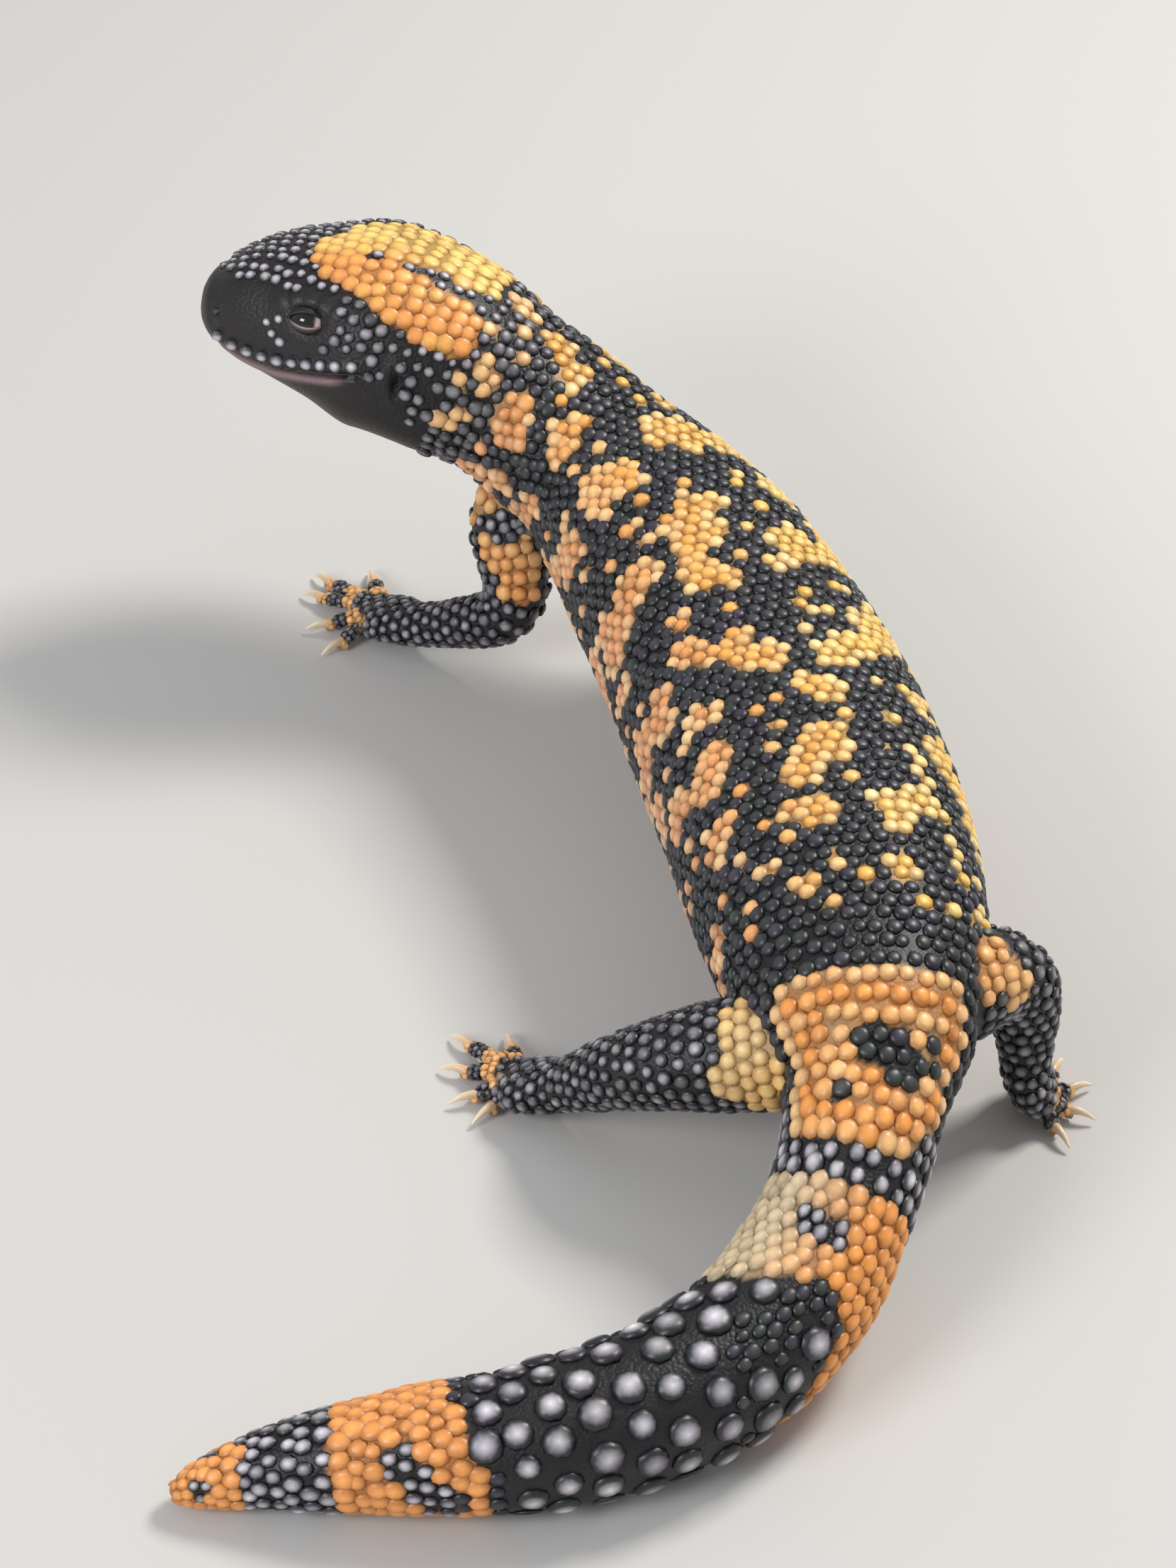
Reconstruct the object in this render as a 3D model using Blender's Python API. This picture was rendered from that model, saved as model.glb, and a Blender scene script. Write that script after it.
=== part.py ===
"""A Gila monster standing still, life size, its head turned to its left and its tail curled the same way.

The body is one tube carried along a curved spine and parted into named lengths by thin flat cuts. Each leg
is a tube that grows out of the trunk and is parted at the elbow or knee and at the wrist or ankle. The
skin's round beads are raised in the surface itself: one point in three of a triangular lattice is lifted.
"""
import math
import random

import bmesh
import bpy
import numpy as np
from mathutils import Matrix, Vector

# Driving sizes, in metres
SNOUT = 0.2763
TAIL_TIP = -0.181
GAP = 0.0003
BEAD_HEIGHT = 0.0011
BEAD_FADE = 0.004
ROOT_CLEAR = 0.006
HEAD_BEAD_SHARE = 0.75
LEG_BEAD_SHARE = 0.7
BEAD_VARIES = (0.8, 1.15)
FULL_BEAD_STEP = 0.0030
FULL_BEAD_WIDTH = 0.006
SEED = 11

# Ahead of the hips, heading to the left in degrees, height of the centre line, half width, rise, drop,
# squareness, roll to the right in degrees
STATIONS = np.array([
    (-0.181, -86, 0.0042, 0.0006, 0.0006, 0.0006, 2.0, 0),
    (-0.179, -86, 0.0042, 0.0026, 0.0026, 0.0026, 2.0, 0),
    (-0.175, -86, 0.0050, 0.0044, 0.0044, 0.0044, 2.0, 0),
    (-0.166, -91, 0.0064, 0.0068, 0.0066, 0.0066, 2.0, 0),
    (-0.150, -98, 0.0090, 0.0098, 0.0094, 0.0093, 2.1, 0),
    (-0.128, -97, 0.0117, 0.0124, 0.0122, 0.0121, 2.1, 0),
    (-0.100, -80, 0.0133, 0.0142, 0.0140, 0.0138, 2.1, 0),
    (-0.075, -62, 0.0144, 0.0150, 0.0148, 0.0147, 2.1, 0),
    (-0.052, -45, 0.0186, 0.0152, 0.0148, 0.0144, 2.1, 0),
    (-0.032, -31, 0.0260, 0.0142, 0.0144, 0.0142, 2.1, 0),
    (-0.014, -19, 0.0340, 0.0156, 0.0156, 0.0154, 2.2, 0),
    (0.004, -6, 0.0390, 0.0230, 0.0200, 0.0188, 2.3, 0),
    (0.028, -2, 0.0410, 0.0285, 0.0230, 0.0215, 2.3, 0),
    (0.055, 1, 0.0420, 0.0310, 0.0246, 0.0228, 2.3, 0),
    (0.088, 6, 0.0430, 0.0316, 0.0250, 0.0232, 2.3, 0),
    (0.120, 12, 0.0460, 0.0300, 0.0242, 0.0224, 2.3, 0),
    (0.145, 17, 0.0495, 0.0280, 0.0230, 0.0215, 2.3, 0),
    (0.166, 26, 0.0535, 0.0245, 0.0215, 0.0205, 2.2, 0),
    (0.185, 41, 0.0595, 0.0207, 0.0195, 0.0190, 2.2, 3),
    (0.203, 56, 0.0675, 0.0210, 0.0195, 0.0190, 2.2, 7),
    (0.219, 63, 0.0745, 0.0250, 0.0228, 0.0210, 2.2, 11),
    (0.235, 67, 0.0795, 0.0270, 0.0240, 0.0215, 2.3, 14),
    (0.249, 71, 0.0812, 0.0232, 0.0208, 0.0168, 2.4, 14),
    (0.2605, 73, 0.0823, 0.0186, 0.0168, 0.0132, 2.4, 14),
    (0.2680, 73, 0.0828, 0.0144, 0.0126, 0.0102, 2.4, 14),
    (0.2725, 73, 0.0828, 0.0106, 0.0088, 0.0076, 2.3, 14),
    (0.2754, 73, 0.0828, 0.0058, 0.0048, 0.0046, 2.2, 14),
    (0.2763, 73, 0.0828, 0.0012, 0.0010, 0.0010, 2.0, 14),
])
HEADING_BLEND = 0.010
SPINE_STEP = 0.00025

# Lengths of the body from tail to snout: name, start, end, points round it
LENGTHS = (
    ("tail_tip", TAIL_TIP, -0.138, 12),
    ("tail_rear", -0.138, -0.100, 18),
    ("tail_middle", -0.100, -0.060, 21),
    ("tail_base", -0.060, -0.016, 21),
    ("torso_pelvis", -0.016, 0.036, 33),
    ("torso_loins", 0.036, 0.088, 39),
    ("torso_middle", 0.088, 0.140, 39),
    ("torso_shoulders", 0.140, 0.190, 36),
    ("neck", 0.190, 0.216, 30),
    ("head", 0.216, SNOUT, 36),
)
HEAD_RINGS = 22

# Eyes, mouth, nostrils and ears, measured back from the snout, up from the centre line and out to the side
EYE_RADIUS = 0.0033
EYE_BACK = 0.0276
EYE_UP = 0.0072
EYE_SINK = 0.0016
LID_THICKNESS = 0.0009
LID_OPENING = (0.0028, 0.0015)
MOUTH_BACK = 0.042
MOUTH_LINE = np.array([(0.0, -0.0036), (0.0050, -0.0058), (0.0110, -0.0070), (0.0180, -0.0069),
                       (0.0260, -0.0056), (0.0340, -0.0036), (0.0420, -0.0012)])
LIP_RADIUS = 0.0019
LIP_SINK = 0.0009
NOSTRIL_BACK = 0.0050
NOSTRIL_UP = 0.0022
NOSTRIL_SIZE = (0.0013, 0.0010, 0.0010)
EAR_BACK = 0.0510
EAR_UP = 0.0010
EAR_SIZE = (0.0013, 0.0022, 0.0036)

# Legs: route from inside the trunk to the palm, bend lengths, half sizes along it, joints, points round it
FORE_SIZES = ((0, 0.0105, 0.0105), (0.25, 0.0098, 0.0095), (0.45, 0.0074, 0.0076), (0.62, 0.0062, 0.0062),
              (0.78, 0.0056, 0.0050), (0.90, 0.0078, 0.0048), (0.97, 0.0060, 0.0040), (1, 0.0012, 0.0010))
HIND_SIZES = ((0, 0.0130, 0.0130), (0.30, 0.0112, 0.0112), (0.50, 0.0085, 0.0088), (0.68, 0.0068, 0.0068),
              (0.80, 0.0060, 0.0054), (0.90, 0.0082, 0.0050), (0.97, 0.0062, 0.0040), (1, 0.0012, 0.0010))
LEGS = {
    "fore_left": dict(
        route=((-0.026, 0.178, 0.052), (-0.046, 0.186, 0.043), (-0.0435, 0.171, 0.0205),
               (-0.0665, 0.1865, 0.0085), (-0.0768, 0.2012, 0.0026)),
        bends=(0.009, 0.012, 0.008), sizes=FORE_SIZES, parts=(0.50, 0.83), around=12,
        palm=(-0.0735, 0.1975),
        tips=((-0.0745, 0.2195), (-0.0880, 0.2200), (-0.0915, 0.2130), (-0.0922, 0.1990), (-0.0895, 0.1885))),
    "fore_right": dict(
        route=((-0.008, 0.172, 0.050), (0.012, 0.171, 0.040), (0.022, 0.168, 0.0215), (0.020, 0.192, 0.0085),
               (0.0195, 0.2085, 0.0026)),
        bends=(0.008, 0.012, 0.008), sizes=FORE_SIZES, parts=(0.47, 0.83), around=12,
        palm=(0.0195, 0.2040),
        tips=((0.009, 0.219), (0.0155, 0.2255), (0.0245, 0.2245), (0.0325, 0.2165), (0.034, 0.2065))),
    "hind_left": dict(
        route=((-0.004, 0.002, 0.038), (-0.040, 0.0115, 0.0285), (-0.059, 0.0275, 0.0090),
               (-0.0665, 0.0375, 0.0026)),
        bends=(0.012, 0.008), sizes=HIND_SIZES, parts=(0.52, 0.83), around=15,
        palm=(-0.0640, 0.0355),
        tips=((-0.0650, 0.0530), (-0.0765, 0.0545), (-0.0800, 0.0450), (-0.0795, 0.0340), (-0.0755, 0.0275))),
    "hind_right": dict(
        route=((0.002, 0.004, 0.040), (0.0365, 0.0185, 0.0400), (0.0380, 0.0150, 0.0100),
               (0.0425, 0.0140, 0.0026)),
        bends=(0.014, 0.009), sizes=HIND_SIZES, parts=(0.56, 0.84), around=15,
        palm=(0.0400, 0.0140),
        tips=((0.0405, 0.0300), (0.0495, 0.0270), (0.0535, 0.0185), (0.0515, 0.0085), (0.0445, 0.0015))),
}
TOE_ROOT_RADIUS = 0.0025
TOE_END_RADIUS = 0.0017
TOE_HEIGHT = 0.0046
TOE_END_HEIGHT = 0.0013
TOE_SIDES = 6
TOE_RINGS = 5
CLAW_LENGTH = 0.0046
CLAW_RADIUS = 0.0013
CLAW_TIP_RADIUS = 0.0003
CLAW_SIDES = 6
CLAW_RAISE = 0.0005
CLAW_ARCH = 0.0005

COLOURS = {
    "black_hide": ((0.020, 0.018, 0.020, 1), 0.55),
    "orange_hide": ((0.72, 0.30, 0.07, 1), 0.55),
    "claw": ((0.62, 0.50, 0.34, 1), 0.40),
    "eye": ((0.008, 0.006, 0.005, 1), 0.08),
}
draw = random.Random(SEED)


def clear_scene():
    """Remove every object of the scene."""
    for item in list(bpy.data.objects):
        bpy.data.objects.remove(item, do_unlink=True)


def material(name):
    """The named finish as a Principled material."""
    found = bpy.data.materials.get(name)
    if found:
        return found
    colour, roughness = COLOURS[name]
    made = bpy.data.materials.new(name)
    made.use_nodes = True
    shader = made.node_tree.nodes["Principled BSDF"]
    shader.inputs["Base Color"].default_value = colour
    shader.inputs["Roughness"].default_value = roughness
    shader.inputs["Metallic"].default_value = 0.0
    return made


def smooth_values(places, values, wanted):
    """Read a table at the wanted places with a smooth curve that never swings past its rows."""
    step = np.diff(places)
    slope = np.diff(values) / step
    tangent = np.zeros(len(values))
    tangent[0], tangent[-1] = slope[0], slope[-1]
    same = slope[:-1] * slope[1:] > 0
    before = 2 * step[1:] + step[:-1]
    after = step[1:] + 2 * step[:-1]
    safe_left = np.where(same, slope[:-1], 1.0)
    safe_right = np.where(same, slope[1:], 1.0)
    tangent[1:-1] = np.where(same, (before + after) / (before / safe_left + after / safe_right), 0.0)
    row = np.clip(np.searchsorted(places, wanted) - 1, 0, len(places) - 2)
    part = (wanted - places[row]) / step[row]
    square, cube = part**2, part**3
    return ((2 * cube - 3 * square + 1) * values[row] + (cube - 2 * square + part) * step[row] * tangent[row]
            + (3 * square - 2 * cube) * values[row + 1] + (cube - square) * step[row] * tangent[row + 1])


def blend(values, width):
    """Average values over a soft window that is width wide along the spine."""
    reach = int(width / SPINE_STEP)
    window = np.hanning(2 * reach + 3)[1:-1]
    return np.convolve(np.pad(values, reach, mode="edge"), window / window.sum(), "valid")


def trace_spine():
    """Follow the headings from tail to snout and return the centre line with its height slope."""
    along = np.arange(TAIL_TIP, SNOUT + SPINE_STEP / 2, SPINE_STEP)
    heading = blend(np.radians(smooth_values(STATIONS[:, 0], STATIONS[:, 1], along)), HEADING_BLEND)
    height = smooth_values(STATIONS[:, 0], STATIONS[:, 2], along)
    x = np.concatenate([[0], np.cumsum(-np.sin((heading[1:] + heading[:-1]) / 2))]) * SPINE_STEP
    y = np.concatenate([[0], np.cumsum(np.cos((heading[1:] + heading[:-1]) / 2))]) * SPINE_STEP
    x -= np.interp(0, along, x)
    y -= np.interp(0, along, y)
    return along, heading, x, y, height, blend(np.gradient(height, along), HEADING_BLEND)


SPINE = trace_spine()


def spine_frame(place):
    """Centre, direction ahead, left and up of the body at distances ahead of the hips."""
    along, heading, x, y, height, rise = SPINE
    place = np.atleast_1d(np.asarray(place, float))
    turn = np.interp(place, along, heading)
    centre = np.stack([np.interp(place, along, values) for values in (x, y, height)], -1)
    ahead = np.stack([-np.sin(turn), np.cos(turn), np.interp(place, along, rise)], -1)
    ahead /= np.linalg.norm(ahead, axis=1, keepdims=True)
    left = np.stack([-np.cos(turn), -np.sin(turn), np.zeros_like(turn)], -1)
    up = np.cross(ahead, left)
    roll = np.radians(smooth_values(STATIONS[:, 0], STATIONS[:, 7], place))[:, None]
    return centre, ahead, left * np.cos(roll) + up * np.sin(roll), up * np.cos(roll) - left * np.sin(roll)


def section(place, share):
    """Offsets left and up of the body's outline at one place, for shares of the way round from the back."""
    width, rise, drop, square = (smooth_values(STATIONS[:, 0], STATIONS[:, column], np.array([place]))[0]
                                 for column in (3, 4, 5, 6))
    turn = np.linspace(0, 2 * np.pi, 361)
    across = np.sign(np.sin(turn)) * np.abs(np.sin(turn)) ** (2 / square) * width
    tall = np.where(np.cos(turn) > 0, rise, drop)
    upward = np.sign(np.cos(turn)) * np.abs(np.cos(turn)) ** (2 / square) * tall
    walked = np.concatenate([[0], np.cumsum(np.hypot(np.diff(across), np.diff(upward)))])
    wanted = np.mod(share, 1.0) * walked[-1]
    return np.interp(wanted, walked, across), np.interp(wanted, walked, upward), walked[-1]


def lattice_share(ring, around):
    """Shares of the way round for one ring, which lies half a step on in every second ring."""
    return (np.arange(around) + 0.5 * (ring % 2)) / around


def is_bead(ring, around):
    """True for the points of one ring that carry a bead, one in three of the lattice."""
    return (np.arange(around) - ring // 2 - ring) % 3 == 0


def ring_count(length, spacing):
    """How many rings of the lattice fill a length."""
    return max(3, round(length / (spacing * math.sqrt(3) / 2)) + 1)


def closed_tube(rings, name):
    """A closed mesh from rings of points, each half a step on from the last, with a flat fan at each end."""
    shape = bmesh.new()
    grid = [[shape.verts.new(point) for point in ring] for ring in rings]
    around = len(grid[0])
    for number, (lower, upper) in enumerate(zip(grid, grid[1:])):
        for here in range(around):
            after = (here + 1) % around
            if number % 2 == 0:
                shape.faces.new((lower[here], lower[after], upper[here]))
                shape.faces.new((lower[after], upper[after], upper[here]))
            else:
                shape.faces.new((lower[here], lower[after], upper[after]))
                shape.faces.new((lower[here], upper[after], upper[here]))
    for ring in (grid[0], grid[-1]):
        middle = shape.verts.new(sum((corner.co for corner in ring), Vector()) / around)
        for here in range(around):
            shape.faces.new((ring[here], ring[(here + 1) % around], middle))
    return mesh_object(shape, name)


def mesh_object(shape, name):
    """Turn a bmesh into an object whose faces point out."""
    bmesh.ops.recalc_face_normals(shape, faces=shape.faces)
    mesh = bpy.data.meshes.new(name)
    shape.to_mesh(mesh)
    shape.free()
    made = bpy.data.objects.new(name, mesh)
    bpy.context.scene.collection.objects.link(made)
    return made


def finish(item, finish_name, smooth_angle=40):
    """Give an object its finish and smooth shading."""
    item.data.materials.clear()
    item.data.materials.append(material(finish_name))
    item.data.shade_smooth()
    item.data.set_sharp_from_angle(angle=math.radians(smooth_angle))


def as_cutter(item):
    """Mark an object as a tool that isn't part of the model."""
    item.hide_render = True
    item.display_type = "WIRE"
    return item


def combine(item, tools, operation, solver="EXACT"):
    """Join tools to an object or cut them from it, remove the tools and keep the largest piece."""
    group = bpy.data.collections.new(item.name + "_tools")
    bpy.context.scene.collection.children.link(group)
    for tool in tools:
        as_cutter(tool)
        group.objects.link(tool)
    change = item.modifiers.new("combine", "BOOLEAN")
    change.operation = operation
    change.solver = solver
    change.operand_type = "COLLECTION"
    change.collection = group
    bpy.context.view_layer.update()
    seen = item.evaluated_get(bpy.context.evaluated_depsgraph_get())
    result = bpy.data.meshes.new_from_object(seen)
    item.modifiers.clear()
    item.data = result
    for tool in tools:
        bpy.data.objects.remove(tool, do_unlink=True)
    bpy.data.collections.remove(group)
    keep_largest(item)


def keep_largest(item):
    """Drop loose scraps, so that an object is one closed surface."""
    shape = bmesh.new()
    shape.from_mesh(item.data)
    bmesh.ops.remove_doubles(shape, verts=shape.verts, dist=1e-6)
    bmesh.ops.triangulate(shape, faces=shape.faces)
    unseen = set(shape.verts)
    pieces = []
    while unseen:
        start = unseen.pop()
        piece = [start]
        queue = [start]
        while queue:
            for edge in queue.pop().link_edges:
                for vertex in edge.verts:
                    if vertex in unseen:
                        unseen.remove(vertex)
                        piece.append(vertex)
                        queue.append(vertex)
        pieces.append(piece)
    pieces.sort(key=len)
    scraps = [vertex for piece in pieces[:-1] for vertex in piece]
    bmesh.ops.delete(shape, geom=scraps, context="VERTS")
    shape.to_mesh(item.data)
    shape.free()


def near_head_feature(point, features):
    """How far a bead is let out near the eyes, mouth, nostrils and ears: 0 at them and 1 a bead away."""
    least = min(np.linalg.norm(point - place) - reach for place, reach in features)
    return min(1.0, max(0.0, least / 0.003))


def body_rings(name, start, end, around, features, roots, grow=0.0, raised=True):
    """Rings of one length of the body, its beads fading under the belly and at the roots of the legs."""
    middle = (start + end) / 2
    spacing = section(middle, np.zeros(1))[2] / around
    count = HEAD_RINGS if name == "head" else ring_count(end - start, spacing)
    share = np.linspace(0, 1, count)
    if name == "head":
        share = 1 - (1 - share) ** 1.35
    elif name == "tail_tip":
        share = share ** 1.3
    places = start + (end - start) * share
    centre, ahead, left, up = spine_frame(places)
    nudge = GAP / 2 - grow
    rings = []
    for number, place in enumerate(places):
        across, upward, _ = section(place, lattice_share(number, around))
        ring = centre[number] + left[number] * across[:, None] + up[number] * upward[:, None]
        width, rise, drop = (smooth_values(STATIONS[:, 0], STATIONS[:, column], np.array([place]))[0]
                             for column in (3, 4, 5))
        tall = np.where(upward > 0, rise, drop)
        normal = left[number] * (across / width**2)[:, None] + up[number] * (upward / tall**2)[:, None]
        normal /= np.linalg.norm(normal, axis=1, keepdims=True)
        lift = np.full(around, grow)
        inner = 0 < number < count - 1
        if raised and inner:
            small = min(1.0, section(place, np.zeros(1))[2] / around / FULL_BEAD_STEP)
            for here in np.nonzero(is_bead(number, around))[0]:
                belly = min(1.0, max(0.0, (upward[here] + 0.75 * drop) / (0.35 * drop)))
                height = BEAD_HEIGHT * small * draw.uniform(*BEAD_VARIES) * belly
                if name == "head":
                    height *= HEAD_BEAD_SHARE * near_head_feature(ring[here], features)
                for root, reach in roots:
                    height *= min(1.0, max(0.0, (np.linalg.norm(ring[here] - root) - reach) / BEAD_FADE))
                lift[here] = height
        ring = ring + normal * lift[:, None]
        if number == 0:
            ring += ahead[0] * nudge
        if number == count - 1 and end < SNOUT:
            ring -= ahead[-1] * nudge
        if grow == 0:
            ring[:, 2] = np.maximum(ring[:, 2], 0.0)
        rings.append(ring)
    return rings


def head_point(back, up_by, side, out=0.0):
    """A point on the head's side: back from the snout, up from the centre line, side 1 left or -1 right."""
    place = SNOUT - back
    centre, ahead, left, up = (value[0] for value in spine_frame(place))
    width, rise, drop, square = (smooth_values(STATIONS[:, 0], STATIONS[:, column], np.array([place]))[0]
                                 for column in (3, 4, 5, 6))
    tall = rise if up_by > 0 else drop
    across = width * max(0.0, 1 - (abs(up_by) / tall) ** square) ** (1 / square)
    normal = left * side * (across / width**2) + up * (up_by / tall**2)
    normal /= np.linalg.norm(normal)
    return centre + left * side * across + up * up_by + normal * out, normal, ahead


def mouth_up(back):
    """Height of the mouth's line above the head's centre line, back from the snout."""
    place = np.array([min(MOUTH_BACK, max(0.0, back))])
    return smooth_values(MOUTH_LINE[:, 0], MOUTH_LINE[:, 1], place)[0]


def lip_line(side):
    """Points of the mouth's line on one side of the head, from its corner to the front of the snout."""
    points = []
    for turn in np.linspace(0, math.pi / 2, 13):
        back = MOUTH_BACK * (1 - math.sin(turn)) + 0.0016 * math.sin(turn)
        points.append(head_point(back, mouth_up(back), side, -LIP_SINK)[0])
    return points


def plain_tube(points, radii, sides, name, flat=1.0):
    """A closed round tube along points, without half steps, for toes, claws and lips."""
    points = np.asarray(points, float)
    tangent = np.gradient(points, axis=0)
    tangent /= np.linalg.norm(tangent, axis=1, keepdims=True)
    side = np.cross(tangent[0], (0, 0, 1.0))
    side /= np.linalg.norm(side)
    rings = []
    for number, (point, along, radius) in enumerate(zip(points, tangent, radii)):
        side = side - along * (side @ along)
        side /= np.linalg.norm(side)
        over = np.cross(side, along)
        turn = (np.arange(sides) + 0.5 * (number % 2)) * 2 * np.pi / sides
        rings.append(point + radius * (np.cos(turn)[:, None] * side + flat * np.sin(turn)[:, None] * over))
    return closed_tube(rings, name)


def ball(centre, size, name, axis, segments=14, rings=8):
    """A round or stretched ball, its last size along the given axis."""
    shape = bmesh.new()
    bmesh.ops.create_uvsphere(shape, u_segments=segments, v_segments=rings, radius=1.0)
    turn = Vector((0, 0, 1)).rotation_difference(Vector(axis)).to_matrix().to_4x4()
    scale = Matrix.Diagonal((*size, 1.0))
    bmesh.ops.transform(shape, matrix=Matrix.Translation(Vector(centre)) @ turn @ scale, verts=shape.verts)
    bmesh.ops.triangulate(shape, faces=shape.faces)
    return mesh_object(shape, name)


def prism(outline, origin, first, second, along, half, name):
    """A closed prism from an outline in two directions, carried half each way along the third."""
    shape = bmesh.new()
    base = [Vector(origin + first * a + second * b - along * half) for a, b in outline]
    bottom = [shape.verts.new(point) for point in base]
    top = [shape.verts.new(point + Vector(along * 2 * half)) for point in base]
    shape.faces.new(bottom)
    shape.faces.new(top)
    for here in range(len(outline)):
        after = (here + 1) % len(outline)
        shape.faces.new((bottom[here], bottom[after], top[after], top[here]))
    bmesh.ops.triangulate(shape, faces=shape.faces)
    return mesh_object(shape, name)


def jaw_prism(grow, name):
    """The block below the mouth's line and ahead of the throat, which parts the lower jaw from the head."""
    _, ahead, left, up = (value[0] for value in spine_frame(SNOUT - 0.02))
    origin = spine_frame(SNOUT)[0][0]
    outline = [(0.010, mouth_up(0) + grow)]
    for back in np.linspace(0, MOUTH_BACK, 9):
        level = (spine_frame(SNOUT - back)[0][0] - origin) @ up
        outline.append((-back, level + mouth_up(back) + grow))
    corner = outline[-1]
    outline.append((corner[0] - 0.012 - grow, corner[1] - 0.030))
    outline.append((0.010, corner[1] - 0.030))
    return prism(outline, origin, ahead, up, left, 0.040, name)


def build_head(rings):
    """The head with lids, lips, nostrils and ears, the lower jaw parted at the mouth, and two eyes."""
    head = closed_tube(rings, "head")
    lip_points = lip_line(1) + lip_line(-1)[::-1]
    lips = plain_tube(lip_points, [LIP_RADIUS] * len(lip_points), 6, "lips")
    added = [lips]
    removed = []
    for side, word in ((1, "left"), (-1, "right")):
        centre, normal, ahead = head_point(EYE_BACK, EYE_UP, side, -EYE_SINK)
        eye = ball(centre, (EYE_RADIUS,) * 3, "eye_" + word, normal)
        finish(eye, "eye")
        added.append(ball(centre, (EYE_RADIUS + LID_THICKNESS,) * 3, "lids", normal))
        removed.append(ball(centre, (EYE_RADIUS + GAP,) * 3, "socket", normal))
        over = np.cross(ahead, normal)
        over /= np.linalg.norm(over)
        along = np.cross(normal, over)
        turns = np.linspace(0, 2 * math.pi, 13)[:-1]
        almond = [(LID_OPENING[0] * math.cos(turn), LID_OPENING[1] * math.sin(turn)) for turn in turns]
        middle = centre + normal * 0.004
        removed.append(prism(almond, middle, along, over, normal, 0.004, "lid_opening"))
        place, normal, _ = head_point(NOSTRIL_BACK, NOSTRIL_UP, side)
        removed.append(ball(place, NOSTRIL_SIZE, "nostril", normal, 8, 6))
        place, normal, _ = head_point(EAR_BACK, EAR_UP, side)
        removed.append(ball(place, EAR_SIZE, "ear", spine_frame(SNOUT - EAR_BACK)[3][0], 10, 8))
    combine(head, added, "UNION", "MANIFOLD")
    combine(head, removed, "DIFFERENCE", "MANIFOLD")
    jaw = head.copy()
    jaw.data = head.data.copy()
    jaw.name = "lower_jaw"
    bpy.context.scene.collection.objects.link(jaw)
    combine(head, [jaw_prism(GAP, "jaw_space")], "DIFFERENCE", "MANIFOLD")
    combine(jaw, [jaw_prism(0.0, "jaw_block")], "INTERSECT", "MANIFOLD")
    finish(head, "black_hide")
    finish(jaw, "black_hide")


def rounded_route(route, bends, count):
    """Evenly spaced points along a route whose corners are rounded by the given lengths."""
    corners = [np.array(point) for point in route]
    path = [corners[0]]
    for before, corner, after, bend in zip(corners, corners[1:], corners[2:], bends):
        into, out = before - corner, after - corner
        reach = min(bend, np.linalg.norm(into) * 0.49, np.linalg.norm(out) * 0.49)
        first = corner + into / np.linalg.norm(into) * reach
        last = corner + out / np.linalg.norm(out) * reach
        for share in np.linspace(0, 1, 12):
            path.append((1 - share) ** 2 * first + 2 * share * (1 - share) * corner + share**2 * last)
    path.append(corners[-1])
    path = np.array(path)
    walked = np.concatenate([[0], np.cumsum(np.linalg.norm(np.diff(path, axis=0), axis=1))])
    wanted = np.linspace(0, walked[-1], count)
    return np.stack([np.interp(wanted, walked, path[:, axis]) for axis in range(3)], -1), walked[-1]


def leg_frames(leg):
    """Centre, direction, side and top of the leg's tube at fine steps, carried back from the foot."""
    points, length = rounded_route(leg["route"], leg["bends"], 241)
    along = np.gradient(points, axis=0)
    along /= np.linalg.norm(along, axis=1, keepdims=True)
    side = np.zeros_like(points)
    here = np.cross((0, 0, 1.0), along[-1])
    for number in range(len(points) - 1, -1, -1):
        here = here - along[number] * (here @ along[number])
        here /= np.linalg.norm(here)
        side[number] = here
    return points, along, side, np.cross(along, side), length


def leg_rings(leg, start, end, end_gap):
    """Rings of one length of a leg between two shares of its route, with beads raised between the ends."""
    points, along, side, top, length = leg_frames(leg)
    sizes = np.array(leg["sizes"])
    around = leg["around"]
    share_of = np.linspace(0, 1, len(points))
    middle_size = smooth_values(sizes[:, 0], sizes[:, 1], np.array([(start + end) / 2]))[0]
    count = ring_count((end - start) * length, 2 * math.pi * middle_size / around)
    rings = []
    for number, share in enumerate(np.linspace(start, end, count)):
        place = [np.array([np.interp(share, share_of, values[:, axis]) for axis in range(3)])
                 for values in (points, along, side, top)]
        centre, ahead, across, over = place
        width = smooth_values(sizes[:, 0], sizes[:, 1], np.array([share]))[0]
        tall = smooth_values(sizes[:, 0], sizes[:, 2], np.array([share]))[0]
        turn = 2 * np.pi * lattice_share(number, around)
        outward = across * np.sin(turn)[:, None] * width + over * np.cos(turn)[:, None] * tall
        lift = np.zeros(around)
        if 0 < number < count - 1:
            for here in np.nonzero(is_bead(number, around))[0]:
                slim = min(1.0, width / FULL_BEAD_WIDTH)
                lift[here] = LEG_BEAD_SHARE * BEAD_HEIGHT * draw.uniform(*BEAD_VARIES) * slim
        unit = outward / np.linalg.norm(outward, axis=1, keepdims=True)
        ring = centre + outward + unit * lift[:, None]
        if number == 0 and start > 0:
            ring += ahead * GAP / 2
        if number == count - 1 and end_gap:
            ring -= ahead * GAP / 2
        rings.append(ring)
    return rings


def toe_route(palm, tip):
    """Centre points of a toe that rises out of the palm, arches and comes down short of its claw."""
    root = np.array((*palm, TOE_HEIGHT * 0.85))
    end = np.array((*tip, TOE_END_HEIGHT))
    reach = end - root
    reach[2] = 0
    unit = reach / np.linalg.norm(reach)
    end = end - unit * (CLAW_LENGTH + GAP)
    share = np.linspace(0, 1, TOE_RINGS)[:, None]
    points = root + (end - root) * share
    points[:, 2] += (TOE_HEIGHT - TOE_END_HEIGHT) * 0.5 * np.sin(math.pi * share[:, 0])
    return points, unit


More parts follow.
